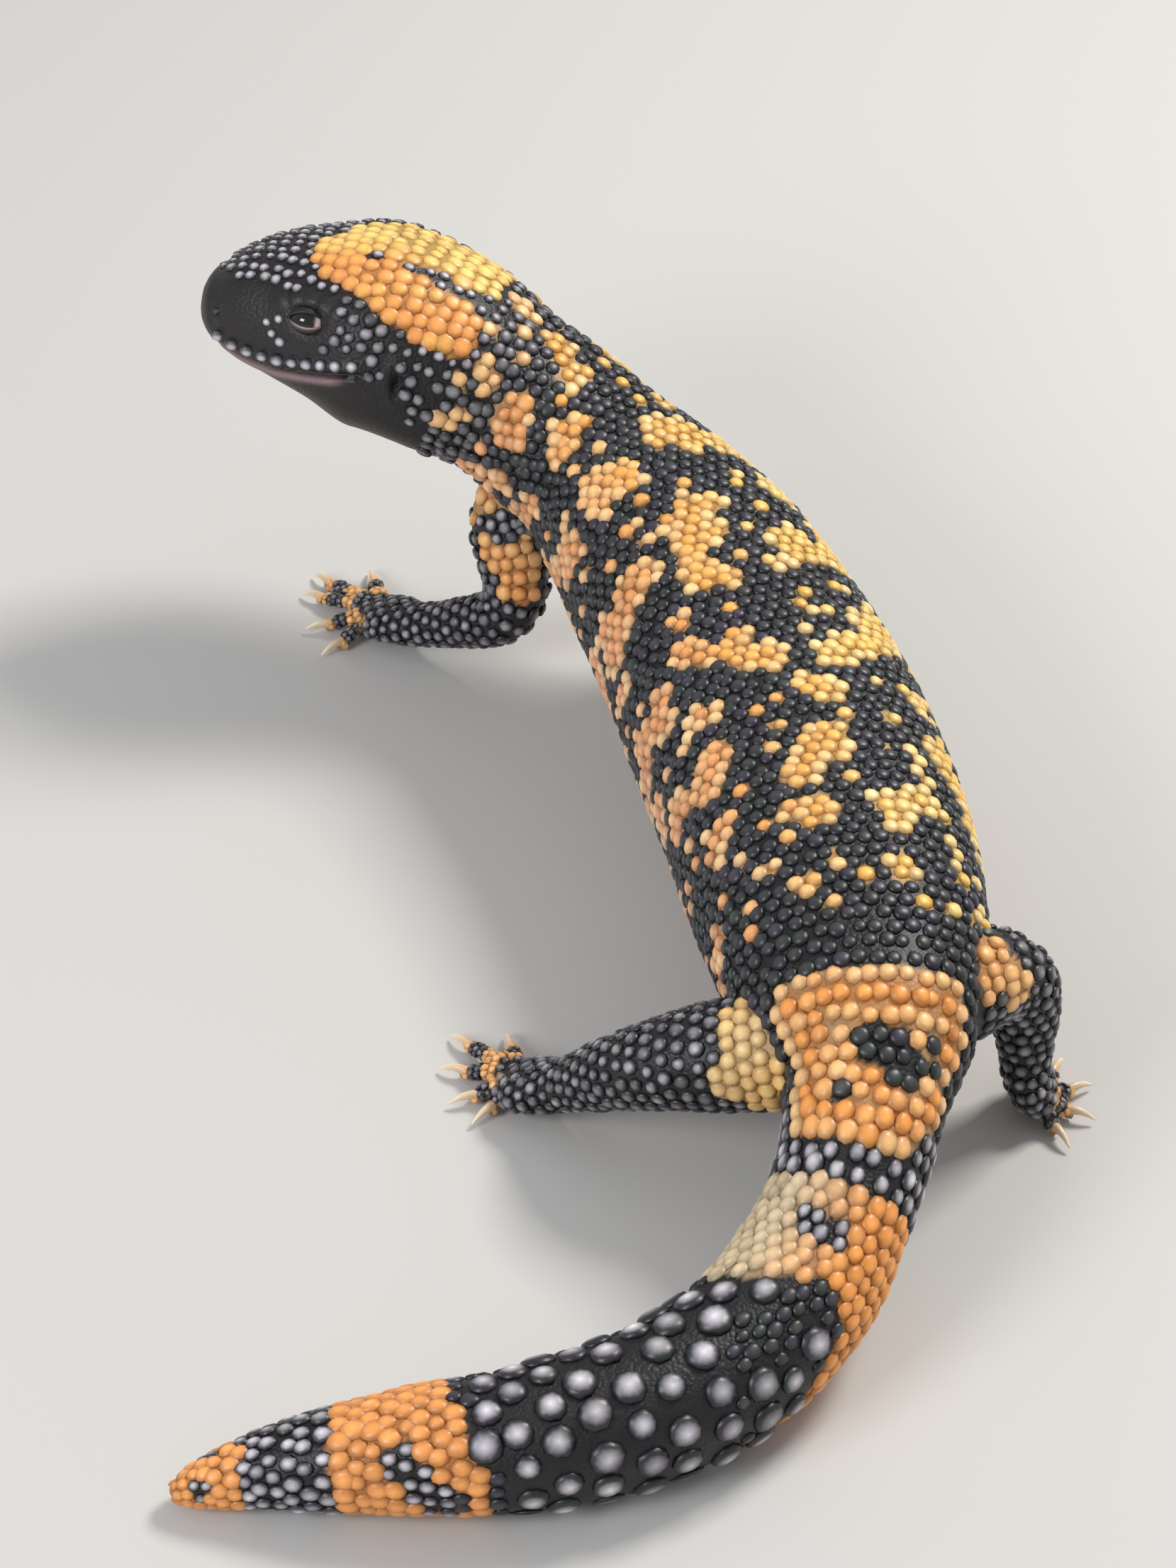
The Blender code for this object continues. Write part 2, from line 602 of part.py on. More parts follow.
def build_foot(name, leg, rings):
    """One foot with its palm and five toes, flat under the sole, and its five claws."""
    foot = closed_tube(rings, name + "_foot")
    toes = []
    for number, tip in enumerate(leg["tips"], 1):
        points, unit = toe_route(leg["palm"], tip)
        radii = np.linspace(TOE_ROOT_RADIUS, TOE_END_RADIUS, TOE_RINGS)
        radii[-2] *= 1.12
        toes.append(plain_tube(points, radii, TOE_SIDES, "toe"))
        direction = points[-1] - points[-2]
        direction /= np.linalg.norm(direction)
        share = np.linspace(0, 1, 3)
        claw_points = points[-1] + direction * GAP + unit * share[:, None] * CLAW_LENGTH
        claw_points[:, 2] += CLAW_RAISE * (1 - share) + CLAW_ARCH * np.sin(math.pi * share)
        claw_radii = CLAW_RADIUS + (CLAW_TIP_RADIUS - CLAW_RADIUS) * share**0.9
        claw = plain_tube(claw_points, claw_radii, CLAW_SIDES, f"{name}_claw_{number}")
        shift_base_clear(claw, points[-1] + direction * GAP, direction)
        finish(claw, "claw")
    combine(foot, toes, "UNION", "MANIFOLD")
    block = floor_block(leg["palm"], min(vertex.co.z for vertex in foot.data.vertices))
    combine(foot, [block], "DIFFERENCE", "MANIFOLD")
    finish(foot, "black_hide")


def shift_base_clear(claw, root, direction):
    """Keep a claw's base ahead of the flat end of its toe."""
    for vertex in claw.data.vertices:
        behind = (Vector(root) - vertex.co) @ Vector(direction)
        if behind > 0:
            vertex.co += Vector(direction) * behind


def floor_block(palm, lowest):
    """A block below the floor, which trims a sole flat."""
    half = 0.04
    depth = 0.01 - lowest
    shape = bmesh.new()
    bmesh.ops.create_cube(shape, size=1.0)
    size = Matrix.Diagonal((2 * half, 2 * half, depth, 1))
    place = Matrix.Translation((palm[0], palm[1], -depth / 2)) @ size
    bmesh.ops.transform(shape, matrix=place, verts=shape.verts)
    bmesh.ops.triangulate(shape, faces=shape.faces)
    return mesh_object(shape, "floor_block")


def trunk_cutters():
    """The trunk's lengths grown by the gap, which trim the roots of the legs."""
    cutters = []
    for name, start, end, around in LENGTHS:
        if name.startswith("torso") or name in ("neck", "tail_base"):
            rings = body_rings(name, start, end, around, (), (), grow=GAP, raised=False)
            cutters.append(closed_tube(rings, "trim_" + name))
    return cutters


def build_legs():
    """Four legs, each an upper length trimmed by the trunk, a lower length and a foot with claws."""
    for name, leg in LEGS.items():
        joint, wrist = leg["parts"]
        upper = closed_tube(leg_rings(leg, 0.0, joint, True), name + "_upper")
        combine(upper, trunk_cutters(), "DIFFERENCE", "MANIFOLD")
        finish(upper, "black_hide")
        finish(closed_tube(leg_rings(leg, joint, wrist, True), name + "_lower"), "black_hide")
        build_foot(name, leg, leg_rings(leg, wrist, 1.0, False))


def build_body():
    """The head, neck, torso and tail."""
    features = []
    for side in (1, -1):
        features.append((head_point(EYE_BACK, EYE_UP, side)[0], EYE_RADIUS + 0.0015))
        features.append((head_point(NOSTRIL_BACK, NOSTRIL_UP, side)[0], 0.002))
        features.append((head_point(EAR_BACK, EAR_UP, side)[0], 0.004))
        features.extend((point, LIP_RADIUS) for point in lip_line(side))
    roots = []
    for leg in LEGS.values():
        root = np.array(leg["route"][1]) * 0.55 + np.array(leg["route"][0]) * 0.45
        roots.append((root, leg["sizes"][0][1] + ROOT_CLEAR))
    for name, start, end, around in LENGTHS:
        rings = body_rings(name, start, end, around, features, roots)
        if name == "head":
            build_head(rings)
        else:
            finish(closed_tube(rings, name), "black_hide" if name.startswith("tail_m") else "orange_hide")


def centre_model():
    """Stand the whole model on the origin, its bounding box centred over it."""
    items = [item for item in bpy.data.objects if item.type == "MESH"]
    corners = np.concatenate([np.array([item.matrix_world @ vertex.co for vertex in item.data.vertices])
                              for item in items])
    middle = (corners.min(axis=0) + corners.max(axis=0)) / 2
    for item in items:
        item.data.transform(Matrix.Translation((-middle[0], -middle[1], 0)))


clear_scene()
build_body()
build_legs()
centre_model()
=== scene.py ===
"""The looks of a Gila monster: one hide, its beads, lids, eyes and claws, on a pale floor in soft light."""
import math

import bmesh
import bpy
import numpy as np
from bpy.props import FloatProperty, FloatVectorProperty, IntProperty, PointerProperty
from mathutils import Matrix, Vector
from mathutils.bvhtree import BVHTree


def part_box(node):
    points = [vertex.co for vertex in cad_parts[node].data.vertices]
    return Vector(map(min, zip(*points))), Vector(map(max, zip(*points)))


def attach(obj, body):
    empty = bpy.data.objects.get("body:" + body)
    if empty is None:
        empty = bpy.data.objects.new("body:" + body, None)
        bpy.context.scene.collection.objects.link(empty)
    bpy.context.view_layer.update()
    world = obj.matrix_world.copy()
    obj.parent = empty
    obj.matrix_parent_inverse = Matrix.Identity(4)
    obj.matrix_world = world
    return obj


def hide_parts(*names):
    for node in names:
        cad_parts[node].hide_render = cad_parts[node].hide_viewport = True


bl_info = {
    "name": "Gila monster looks",
    "version": (1, 0, 0),
    "blender": (4, 5, 0),
    "location": "View3D > Sidebar > Lizard",
    "description": "Makes the hide, beads, eyes and claws of a life-size Gila monster",
    "category": "Object",
}

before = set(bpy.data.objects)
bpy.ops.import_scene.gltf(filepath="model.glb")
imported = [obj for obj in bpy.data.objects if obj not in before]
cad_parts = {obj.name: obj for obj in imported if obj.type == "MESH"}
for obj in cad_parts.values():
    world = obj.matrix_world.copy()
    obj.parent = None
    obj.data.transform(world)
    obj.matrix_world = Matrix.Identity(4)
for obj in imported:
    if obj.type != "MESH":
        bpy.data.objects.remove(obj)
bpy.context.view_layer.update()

# The body's form, as the solids have it, in metres and degrees. Each row of the stations holds the place
# ahead of the hips, heading, height, half width, rise, drop, squareness and roll.
SNOUT = 0.2763
TAIL_TIP = -0.181
STATIONS = np.array([
    (-0.181, -86, 0.0042, 0.0006, 0.0006, 0.0006, 2.0, 0),
    (-0.179, -86, 0.0042, 0.0026, 0.0026, 0.0026, 2.0, 0),
    (-0.175, -86, 0.0050, 0.0044, 0.0044, 0.0044, 2.0, 0),
    (-0.166, -91, 0.0064, 0.0068, 0.0066, 0.0066, 2.0, 0),
    (-0.150, -98, 0.0090, 0.0098, 0.0094, 0.0093, 2.1, 0),
    (-0.128, -97, 0.0117, 0.0124, 0.0122, 0.0121, 2.1, 0),
    (-0.100, -80, 0.0133, 0.0142, 0.0140, 0.0138, 2.1, 0),
    (-0.075, -62, 0.0144, 0.0150, 0.0148, 0.0147, 2.1, 0),
    (-0.052, -45, 0.0186, 0.0152, 0.0148, 0.0144, 2.1, 0),
    (-0.032, -31, 0.0260, 0.0142, 0.0144, 0.0142, 2.1, 0),
    (-0.014, -19, 0.0340, 0.0156, 0.0156, 0.0154, 2.2, 0),
    (0.004, -6, 0.0390, 0.0230, 0.0200, 0.0188, 2.3, 0),
    (0.028, -2, 0.0410, 0.0285, 0.0230, 0.0215, 2.3, 0),
    (0.055, 1, 0.0420, 0.0310, 0.0246, 0.0228, 2.3, 0),
    (0.088, 6, 0.0430, 0.0316, 0.0250, 0.0232, 2.3, 0),
    (0.120, 12, 0.0460, 0.0300, 0.0242, 0.0224, 2.3, 0),
    (0.145, 17, 0.0495, 0.0280, 0.0230, 0.0215, 2.3, 0),
    (0.166, 26, 0.0535, 0.0245, 0.0215, 0.0205, 2.2, 0),
    (0.185, 41, 0.0595, 0.0207, 0.0195, 0.0190, 2.2, 3),
    (0.203, 56, 0.0675, 0.0210, 0.0195, 0.0190, 2.2, 7),
    (0.219, 63, 0.0745, 0.0250, 0.0228, 0.0210, 2.2, 11),
    (0.235, 67, 0.0795, 0.0270, 0.0240, 0.0215, 2.3, 14),
    (0.249, 71, 0.0812, 0.0232, 0.0208, 0.0168, 2.4, 14),
    (0.2605, 73, 0.0823, 0.0186, 0.0168, 0.0132, 2.4, 14),
    (0.2680, 73, 0.0828, 0.0144, 0.0126, 0.0102, 2.4, 14),
    (0.2725, 73, 0.0828, 0.0106, 0.0088, 0.0076, 2.3, 14),
    (0.2754, 73, 0.0828, 0.0058, 0.0048, 0.0046, 2.2, 14),
    (0.2763, 73, 0.0828, 0.0012, 0.0010, 0.0010, 2.0, 14),
])
HEADING_BLEND = 0.010
SPINE_STEP = 0.00025
EYE_RADIUS = 0.0033
EYE_BACK = 0.0276
EYE_UP = 0.0072
EYE_SINK = 0.0016
EYE_LONG = 1.25
EYE_TALL = 0.94
MOUTH_BACK = 0.042
MOUTH_LINE = np.array([(0.0, -0.0036), (0.0050, -0.0058), (0.0110, -0.0070), (0.0180, -0.0069),
                       (0.0260, -0.0056), (0.0340, -0.0036), (0.0420, -0.0012)])
NOSTRIL_BACK = 0.0050
NOSTRIL_UP = 0.0022
EAR_BACK = 0.0510
EAR_UP = 0.0010

# Each row of a leg's sizes: share of its length, half width and half height
FORE_SIZES = ((0, 0.0105, 0.0105), (0.25, 0.0098, 0.0095), (0.45, 0.0074, 0.0076), (0.62, 0.0062, 0.0062),
              (0.78, 0.0056, 0.0050), (0.90, 0.0078, 0.0048), (0.97, 0.0060, 0.0040), (1, 0.0012, 0.0010))
HIND_SIZES = ((0, 0.0130, 0.0130), (0.30, 0.0112, 0.0112), (0.50, 0.0085, 0.0088), (0.68, 0.0068, 0.0068),
              (0.80, 0.0060, 0.0054), (0.90, 0.0082, 0.0050), (0.97, 0.0062, 0.0040), (1, 0.0012, 0.0010))
LEGS = {
    "fore_left": dict(
        route=((-0.026, 0.178, 0.052), (-0.046, 0.186, 0.043), (-0.0435, 0.171, 0.0205),
               (-0.0665, 0.1865, 0.0085), (-0.0768, 0.2012, 0.0026)),
        bends=(0.009, 0.012, 0.008), sizes=FORE_SIZES, palm=(-0.0735, 0.1975),
        tips=((-0.0745, 0.2195), (-0.0880, 0.2200), (-0.0915, 0.2130), (-0.0922, 0.1990), (-0.0895, 0.1885))),
    "fore_right": dict(
        route=((-0.008, 0.172, 0.050), (0.012, 0.171, 0.040), (0.022, 0.168, 0.0215), (0.020, 0.192, 0.0085),
               (0.0195, 0.2085, 0.0026)),
        bends=(0.008, 0.012, 0.008), sizes=FORE_SIZES, palm=(0.0195, 0.2040),
        tips=((0.009, 0.219), (0.0155, 0.2255), (0.0245, 0.2245), (0.0325, 0.2165), (0.034, 0.2065))),
    "hind_left": dict(
        route=((-0.004, 0.002, 0.038), (-0.040, 0.0115, 0.0285), (-0.059, 0.0275, 0.0090),
               (-0.0665, 0.0375, 0.0026)),
        bends=(0.012, 0.008), sizes=HIND_SIZES, palm=(-0.0640, 0.0355),
        tips=((-0.0650, 0.0530), (-0.0765, 0.0545), (-0.0800, 0.0450), (-0.0795, 0.0340), (-0.0755, 0.0275))),
    "hind_right": dict(
        route=((0.002, 0.004, 0.040), (0.0365, 0.0185, 0.0400), (0.0380, 0.0150, 0.0100),
               (0.0425, 0.0140, 0.0026)),
        bends=(0.014, 0.009), sizes=HIND_SIZES, palm=(0.0400, 0.0140),
        tips=((0.0405, 0.0300), (0.0495, 0.0270), (0.0535, 0.0185), (0.0515, 0.0085), (0.0445, 0.0015))),
}
TOE_ROOT_RADIUS = 0.0025
TOE_END_RADIUS = 0.0017
TOE_HEIGHT = 0.0046
TOE_END_HEIGHT = 0.0013
CLAW_LENGTH = 0.0046
CLAW_RADIUS = 0.0013
GAP = 0.0003

# The camera's place, from the reference picture
CAMERA_AZIMUTH = -9.0
CAMERA_ELEVATION = 40.0
CAMERA_DISTANCE = 0.9
CAMERA_LENS = 94.18
CAMERA_TARGET = (-0.0388, 0.1074, 0.022)


def fraction(value):
    """A share held between 0 and 1."""
    return np.clip(value, 0, 1)


def ramp(value, start, reach):
    """0 at the start, 1 a reach past it and a straight line between; a reach below 0 goes the other way."""
    return np.clip((value - start) / reach, 0, 1)


def mix(first, second, share):
    """The first value at share 0, the second at share 1 and a straight blend between."""
    return first * (1 - share) + second * share


def directions(vectors):
    """Each row of vectors at length 1."""
    return vectors / np.linalg.norm(vectors, axis=1, keepdims=True)


def smooth_values(places, values, wanted):
    """Read a table at the wanted places with a monotone cubic, which never swings past its rows."""
    step = np.diff(places)
    slope = np.diff(values) / step
    tangent = np.zeros(len(values))
    tangent[0], tangent[-1] = slope[0], slope[-1]
    same = slope[:-1] * slope[1:] > 0
    before = 2 * step[1:] + step[:-1]
    after = step[1:] + 2 * step[:-1]
    left = np.where(same, slope[:-1], 1.0)
    right = np.where(same, slope[1:], 1.0)
    tangent[1:-1] = np.where(same, (before + after) / (before / left + after / right), 0.0)
    row = np.clip(np.searchsorted(places, wanted) - 1, 0, len(places) - 2)
    part = (wanted - places[row]) / step[row]
    square, cube = part**2, part**3
    return ((2 * cube - 3 * square + 1) * values[row] + (cube - 2 * square + part) * step[row] * tangent[row]
            + (3 * square - 2 * cube) * values[row + 1] + (cube - square) * step[row] * tangent[row + 1])


def blend(values, width):
    """Average values over a soft window that is width wide along the spine."""
    reach = int(width / SPINE_STEP)
    window = np.hanning(2 * reach + 3)[1:-1]
    return np.convolve(np.pad(values, reach, mode="edge"), window / window.sum(), "valid")


def trace_spine():
    """The centre line: in plan the running sum of unit steps along the heading, its height from the table."""
    along = np.arange(TAIL_TIP, SNOUT + SPINE_STEP / 2, SPINE_STEP)
    heading = blend(np.radians(smooth_values(STATIONS[:, 0], STATIONS[:, 1], along)), HEADING_BLEND)
    height = smooth_values(STATIONS[:, 0], STATIONS[:, 2], along)
    x = np.concatenate([[0], np.cumsum(-np.sin((heading[1:] + heading[:-1]) / 2))]) * SPINE_STEP
    y = np.concatenate([[0], np.cumsum(np.cos((heading[1:] + heading[:-1]) / 2))]) * SPINE_STEP
    x -= np.interp(0, along, x)
    y -= np.interp(0, along, y)
    return along, heading, x, y, height, blend(np.gradient(height, along), HEADING_BLEND)


SPINE = trace_spine()


def spine_frame(place):
    """Centre, direction ahead, left and up of the body at distances ahead of the hips."""
    along, heading, x, y, height, rise = SPINE
    place = np.atleast_1d(np.asarray(place, float))
    turn = np.interp(place, along, heading)
    centre = np.stack([np.interp(place, along, values) for values in (x, y, height)], -1) + SHIFT
    ahead = directions(np.stack([-np.sin(turn), np.cos(turn), np.interp(place, along, rise)], -1))
    left = np.stack([-np.cos(turn), -np.sin(turn), np.zeros_like(turn)], -1)
    up = np.cross(ahead, left)
    roll = np.radians(smooth_values(STATIONS[:, 0], STATIONS[:, 7], place))[:, None]
    return centre, ahead, left * np.cos(roll) + up * np.sin(roll), up * np.cos(roll) - left * np.sin(roll)


def table_row(place):
    """Half width, rise, drop and squareness of the body at distances ahead of the hips."""
    return [smooth_values(STATIONS[:, 0], STATIONS[:, column], place) for column in (3, 4, 5, 6)]


def head_point(back, up_by, side, out=0.0):
    """A point on the head's superellipse: back from the snout, up from the centre line, on side 1 or -1."""
    place = np.atleast_1d(SNOUT - np.asarray(back, float))
    centre, ahead, left, up = spine_frame(place)
    width, rise, drop, square = table_row(place)
    tall = np.where(up_by > 0, rise, drop)
    across = width * np.maximum(0.0, 1 - (np.abs(up_by) / tall) ** square) ** (1 / square)
    normal = directions(left * (side * across / width**2)[:, None] + up * (up_by / tall**2)[:, None])
    upward = np.broadcast_to(up_by, place.shape)[:, None]
    return centre + left * (side * across)[:, None] + up * upward + normal * out, normal, ahead


SHIFT = np.zeros(3)
EYE_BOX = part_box("eye_left")
SHIFT = (np.array(EYE_BOX[0]) + np.array(EYE_BOX[1])) / 2 - head_point(EYE_BACK, EYE_UP, 1, -EYE_SINK)[0][0]
SHIFT[2] = 0.0


def srgb(red, green, blue):
    """A colour given as display values from 0 to 255, in the linear values that shaders take."""
    value = np.array([red, green, blue]) / 255
    return np.where(value < 0.04045, value / 12.92, ((value + 0.055) / 1.055) ** 2.4)


PALETTE = {
    "black": srgb(22, 21, 25),
    # slate and pale: the rim and the crown of the painted highlight on the dark beads
    "slate": srgb(62, 66, 72),
    "pale": srgb(206, 200, 208),
    # brown: painted shade at the feet of the marked beads and in the hide between them
    "brown": srgb(104, 58, 30),
    "orange": srgb(244, 160, 76),
    # gold and salmon: the right side and the left flank, partly the markings' own colour, partly painted
    # light
    "gold": srgb(252, 202, 98),
    "salmon": srgb(234, 168, 126),
    "cream": srgb(250, 226, 172),
    # crown_top and crown_low: the top and the lower left of the head's patch, partly its own colour, partly
    # painted light
    "crown_low": srgb(250, 166, 86),
    "crown_top": srgb(255, 212, 118),
    "sand": srgb(208, 188, 152),
    "lip": srgb(150, 122, 126),
    "face": srgb(25, 19, 19),
    "belly": srgb(70, 52, 44),
    "sole": srgb(96, 72, 56),
    "pupil": srgb(6, 5, 5),
    "iris": srgb(30, 19, 13),
    "eye_white": srgb(224, 204, 198),
    "lid_edge": srgb(216, 196, 192),
    "claw_root": srgb(204, 168, 128),
    "claw_tip": srgb(246, 230, 200),
}


OUTLINE_CELLS = 360


def superellipse_turns(place):
    """Dense outline of the body at each place: offsets left and up, and the distance walked round to each."""
    width, rise, drop, square = (value[:, None] for value in table_row(place))
    turn = np.linspace(0, 2 * np.pi, OUTLINE_CELLS + 1)[None, :]
    sine, cosine = np.sin(turn), np.cos(turn)
    across = np.sign(sine) * np.abs(sine) ** (2 / square) * width
    upward = np.sign(cosine) * np.abs(cosine) ** (2 / square) * np.where(cosine > 0, rise, drop)
    step = np.hypot(np.diff(across, axis=1), np.diff(upward, axis=1))
    walked = np.concatenate([np.zeros((len(place), 1)), np.cumsum(step, axis=1)], axis=1)
    return across, upward, walked


def body_rings(place, shares):
    """Points, outward normals and distance from the back's middle for shares of the way round each place."""
    across_all, upward_all, walked = superellipse_turns(place)
    centre, _, left, up = spine_frame(place)
    width, rise, drop, _ = table_row(place)
    points, normals, arcs = [], [], []
    for row, share in enumerate(shares):
        wanted = np.mod(share, 1.0) * walked[row, -1]
        across = np.interp(wanted, walked[row], across_all[row])
        upward = np.interp(wanted, walked[row], upward_all[row])
        tall = np.where(upward > 0, rise[row], drop[row])
        points.append(centre[row] + left[row] * across[:, None] + up[row] * upward[:, None])
        out = left[row] * (across / width[row] ** 2)[:, None] + up[row] * (upward / tall**2)[:, None]
        normals.append(directions(out))
        arcs.append(np.where(wanted > walked[row, -1] / 2, wanted - walked[row, -1], wanted))
    return points, normals, arcs


CORNER_SHARE = 0.49
CORNER_STEPS = 12


def rounded_route(route, bends, count):
    """Evenly spaced points along a route whose corners are quadratic curves of the given reach.

    A corner takes no more than its share of the straights beside it.
    """
    corners = [np.array(point) for point in route]
    path = [corners[0]]
    for before, corner, after, bend in zip(corners, corners[1:], corners[2:], bends):
        into, out = before - corner, after - corner
        reach = min(bend, np.linalg.norm(into) * CORNER_SHARE, np.linalg.norm(out) * CORNER_SHARE)
        first = corner + into / np.linalg.norm(into) * reach
        last = corner + out / np.linalg.norm(out) * reach
        for share in np.linspace(0, 1, CORNER_STEPS):
            path.append((1 - share) ** 2 * first + 2 * share * (1 - share) * corner + share**2 * last)
    path.append(corners[-1])
    path = np.array(path)
    walked = np.concatenate([[0], np.cumsum(np.linalg.norm(np.diff(path, axis=0), axis=1))])
    wanted = np.linspace(0, walked[-1], count)
    return np.stack([np.interp(wanted, walked, path[:, axis]) for axis in range(3)], -1), walked[-1]


def carried_frames(points, last_side):
    """Direction, side and top along a path, the side carried back from its end without twist."""
    along = directions(np.gradient(points, axis=0))
    side = np.zeros_like(points)
    here = np.asarray(last_side, float)
    for number in range(len(points) - 1, -1, -1):
        here = here - along[number] * (here @ along[number])
        here /= np.linalg.norm(here)
        side[number] = here
    return along, side, np.cross(along, side)


LEG_STEPS = 241


def leg_tube(leg):
    """Path, frames and half sizes of a leg at even steps from inside the trunk to the end of the palm."""
    points, length = rounded_route(leg["route"], leg["bends"], LEG_STEPS)
    points = points + SHIFT
    end = points[-1] - points[-2]
    along, side, top = carried_frames(points, np.cross((0, 0, 1.0), end))
    sizes = np.array(leg["sizes"])
    share = np.linspace(0, 1, LEG_STEPS)
    width = smooth_values(sizes[:, 0], sizes[:, 1], share)
    tall = smooth_values(sizes[:, 0], sizes[:, 2], share)
    return dict(points=points, along=along, side=side, top=top, width=width, tall=tall, length=length,
                share=share)


TOE_STEPS = 41
TOE_ROOT_HEIGHT = TOE_HEIGHT * 0.85
TOE_ARCH = 0.5
KNUCKLE_SWELL = 0.09
TOE_FLATNESS = 0.95


def toe_tube(palm, tip):
    """Path, frames and half sizes of a toe that leaves the palm, arches and comes down short of its claw."""
    root = np.array((*palm, TOE_ROOT_HEIGHT)) + SHIFT
    end = np.array((*tip, TOE_END_HEIGHT)) + SHIFT
    reach = (end - root) * (1, 1, 0)
    unit = reach / np.linalg.norm(reach)
    end = end - unit * (CLAW_LENGTH + GAP)
    share = np.linspace(0, 1, TOE_STEPS)
    points = root + (end - root) * share[:, None]
    points[:, 2] += (TOE_HEIGHT - TOE_END_HEIGHT) * TOE_ARCH * np.sin(math.pi * share)
    along, side, top = carried_frames(points, np.cross((0, 0, 1.0), unit))
    knuckles = 1 + KNUCKLE_SWELL * np.cos(share * math.pi * 5)
    radius = (TOE_ROOT_RADIUS + (TOE_END_RADIUS - TOE_ROOT_RADIUS) * share) * knuckles
    length = np.linalg.norm(np.diff(points, axis=0), axis=1).sum()
    return dict(points=points, along=along, side=side, top=top, width=radius, tall=radius * TOE_FLATNESS,
                length=length, share=share, unit=unit)


THINNEST = 0.0002


def tube_rings(tube, around, inset):
    """Grid of points on a tube less an inset: centre + side * width * sin(turn) + top * tall * cos(turn)."""
    turn = np.arange(around) / around * 2 * np.pi
    width = np.maximum(tube["width"] - inset, THINNEST)[:, None, None]
    tall = np.maximum(tube["tall"] - inset, THINNEST)[:, None, None]
    return (tube["points"][:, None] + tube["side"][:, None] * width * np.sin(turn)[None, :, None]
            + tube["top"][:, None] * tall * np.cos(turn)[None, :, None])


def grid_faces(rows, around):
    """Quads between rows of points that close round the second direction."""
    row, here = np.meshgrid(np.arange(rows - 1) * around, np.arange(around), indexing="ij")
    after = (here + 1) % around
    corners = [row + here, row + after, row + around + after, row + around + here]
    return np.stack(corners, -1).reshape(-1, 4)


def closed_grid(grid):
    """Points and faces of a grid that closes round, with a middle point and a fan at each end."""
    rows, around = grid.shape[:2]
    points = np.concatenate([grid.reshape(-1, 3), grid[0].mean(axis=0)[None], grid[-1].mean(axis=0)[None]])
    here = np.arange(around)
    after = (here + 1) % around
    first, last = rows * around, rows * around + 1
    start = np.stack([after, here, np.full(around, first)], -1)
    base = (rows - 1) * around
    end = np.stack([base + here, base + after, np.full(around, last)], -1)
    return points, grid_faces(rows, around).tolist() + start.tolist() + end.tolist()


def linked(name, data):
    """A new object with the given data, at the origin of the scene."""
    made = bpy.data.objects.new(name, data)
    bpy.context.scene.collection.objects.link(made)
    return made


def new_object(name, points, faces, smooth=True):
    """An object at the origin with the given mesh, its faces turned to point out."""
    mesh = bpy.data.meshes.new(name)
    mesh.from_pydata(points, [], faces)
    shape = bmesh.new()
    shape.from_mesh(mesh)
    bmesh.ops.recalc_face_normals(shape, faces=shape.faces)
    shape.to_mesh(mesh)
    shape.free()
    if smooth:
        mesh.shade_smooth()
    return linked(name, mesh)


def evaluated_mesh(item):
    """A new mesh of the object as its modifiers leave it."""
    bpy.context.view_layer.update()
    seen = item.evaluated_get(bpy.context.evaluated_depsgraph_get())
    return bpy.data.meshes.new_from_object(seen)


def read_vectors(rows, key):
    """One vector of every row of a mesh's collection, as an array."""
    flat = np.empty(len(rows) * 3, np.float32)
    rows.foreach_get(key, flat)
    return flat.reshape(-1, 3).astype(float)


def read_points(mesh):
    """The mesh's points as an array."""
    return read_vectors(mesh.vertices, "co")


def vertex_normals(mesh):
    """The mesh's point normals as an array."""
    return read_vectors(mesh.vertex_normals, "vector")


def write_points(mesh, points):
    """Put an array of points back into the mesh."""
    mesh.vertices.foreach_set("co", points.astype(np.float32).ravel())
    mesh.update()


def paint(mesh, colours):
    """Store one colour a point as the colour attribute that the finishes read."""
    layer = mesh.color_attributes.new("tint", "FLOAT_COLOR", "POINT")
    full = np.concatenate([colours, np.ones((len(colours), 1))], axis=1)
    layer.data.foreach_set("color", full.astype(np.float32).ravel())


BODY_PLACES = np.arange(TAIL_TIP + 0.0005, SNOUT, 0.001)
BODY_WALKED = superellipse_turns(BODY_PLACES)[2]
BLOCK = 8000


def nearest_rows(points, centres):
    """Row of the nearest centre for each point, found in blocks that fit in memory."""
    nearest = np.empty(len(points), int)
    for start in range(0, len(points), BLOCK):
        gap = ((points[start:start + BLOCK, None] - centres[None]) ** 2).sum(axis=2)
        nearest[start:start + BLOCK] = gap.argmin(axis=1)
    return nearest


def body_coordinates(points):
    """Place along the spine, signed distance round from the back's middle and height off the surface.

    Offsets across and up from the spine come with them. The nearest spine point gives the place, and the
    turn of the superellipse through the point gives the distance.
    """
    centre, ahead, left, up = spine_frame(BODY_PLACES)
    nearest = nearest_rows(points, centre)
    offset = points - centre[nearest]
    place = np.clip(BODY_PLACES[nearest] + (offset * ahead[nearest]).sum(axis=1), TAIL_TIP, SNOUT - 1e-5)
    width, rise, drop, square = table_row(place)
    across = (offset * left[nearest]).sum(axis=1)
    upward = (offset * up[nearest]).sum(axis=1)
    tall = np.where(upward > 0, rise, drop)
    wide = np.abs(across / width) ** (square / 2)
    high = np.abs(upward / tall) ** (square / 2)
    turn = np.arctan2(wide * np.sign(across), high * np.sign(upward)) % (2 * np.pi)
    whole = np.clip(turn / (2 * np.pi) * OUTLINE_CELLS, 0, OUTLINE_CELLS - 0.001)
    cell = whole.astype(int)
    walked = mix(BODY_WALKED[nearest, cell], BODY_WALKED[nearest, cell + 1], whole % 1)
    arc = np.where(walked > BODY_WALKED[nearest, -1] / 2, walked - BODY_WALKED[nearest, -1], walked)
    scale = (wide**2 + high**2) ** (1 / square)
    height = (1 - 1 / np.maximum(scale, 1e-6)) * np.hypot(across, upward)
    return place, arc, height, across, upward


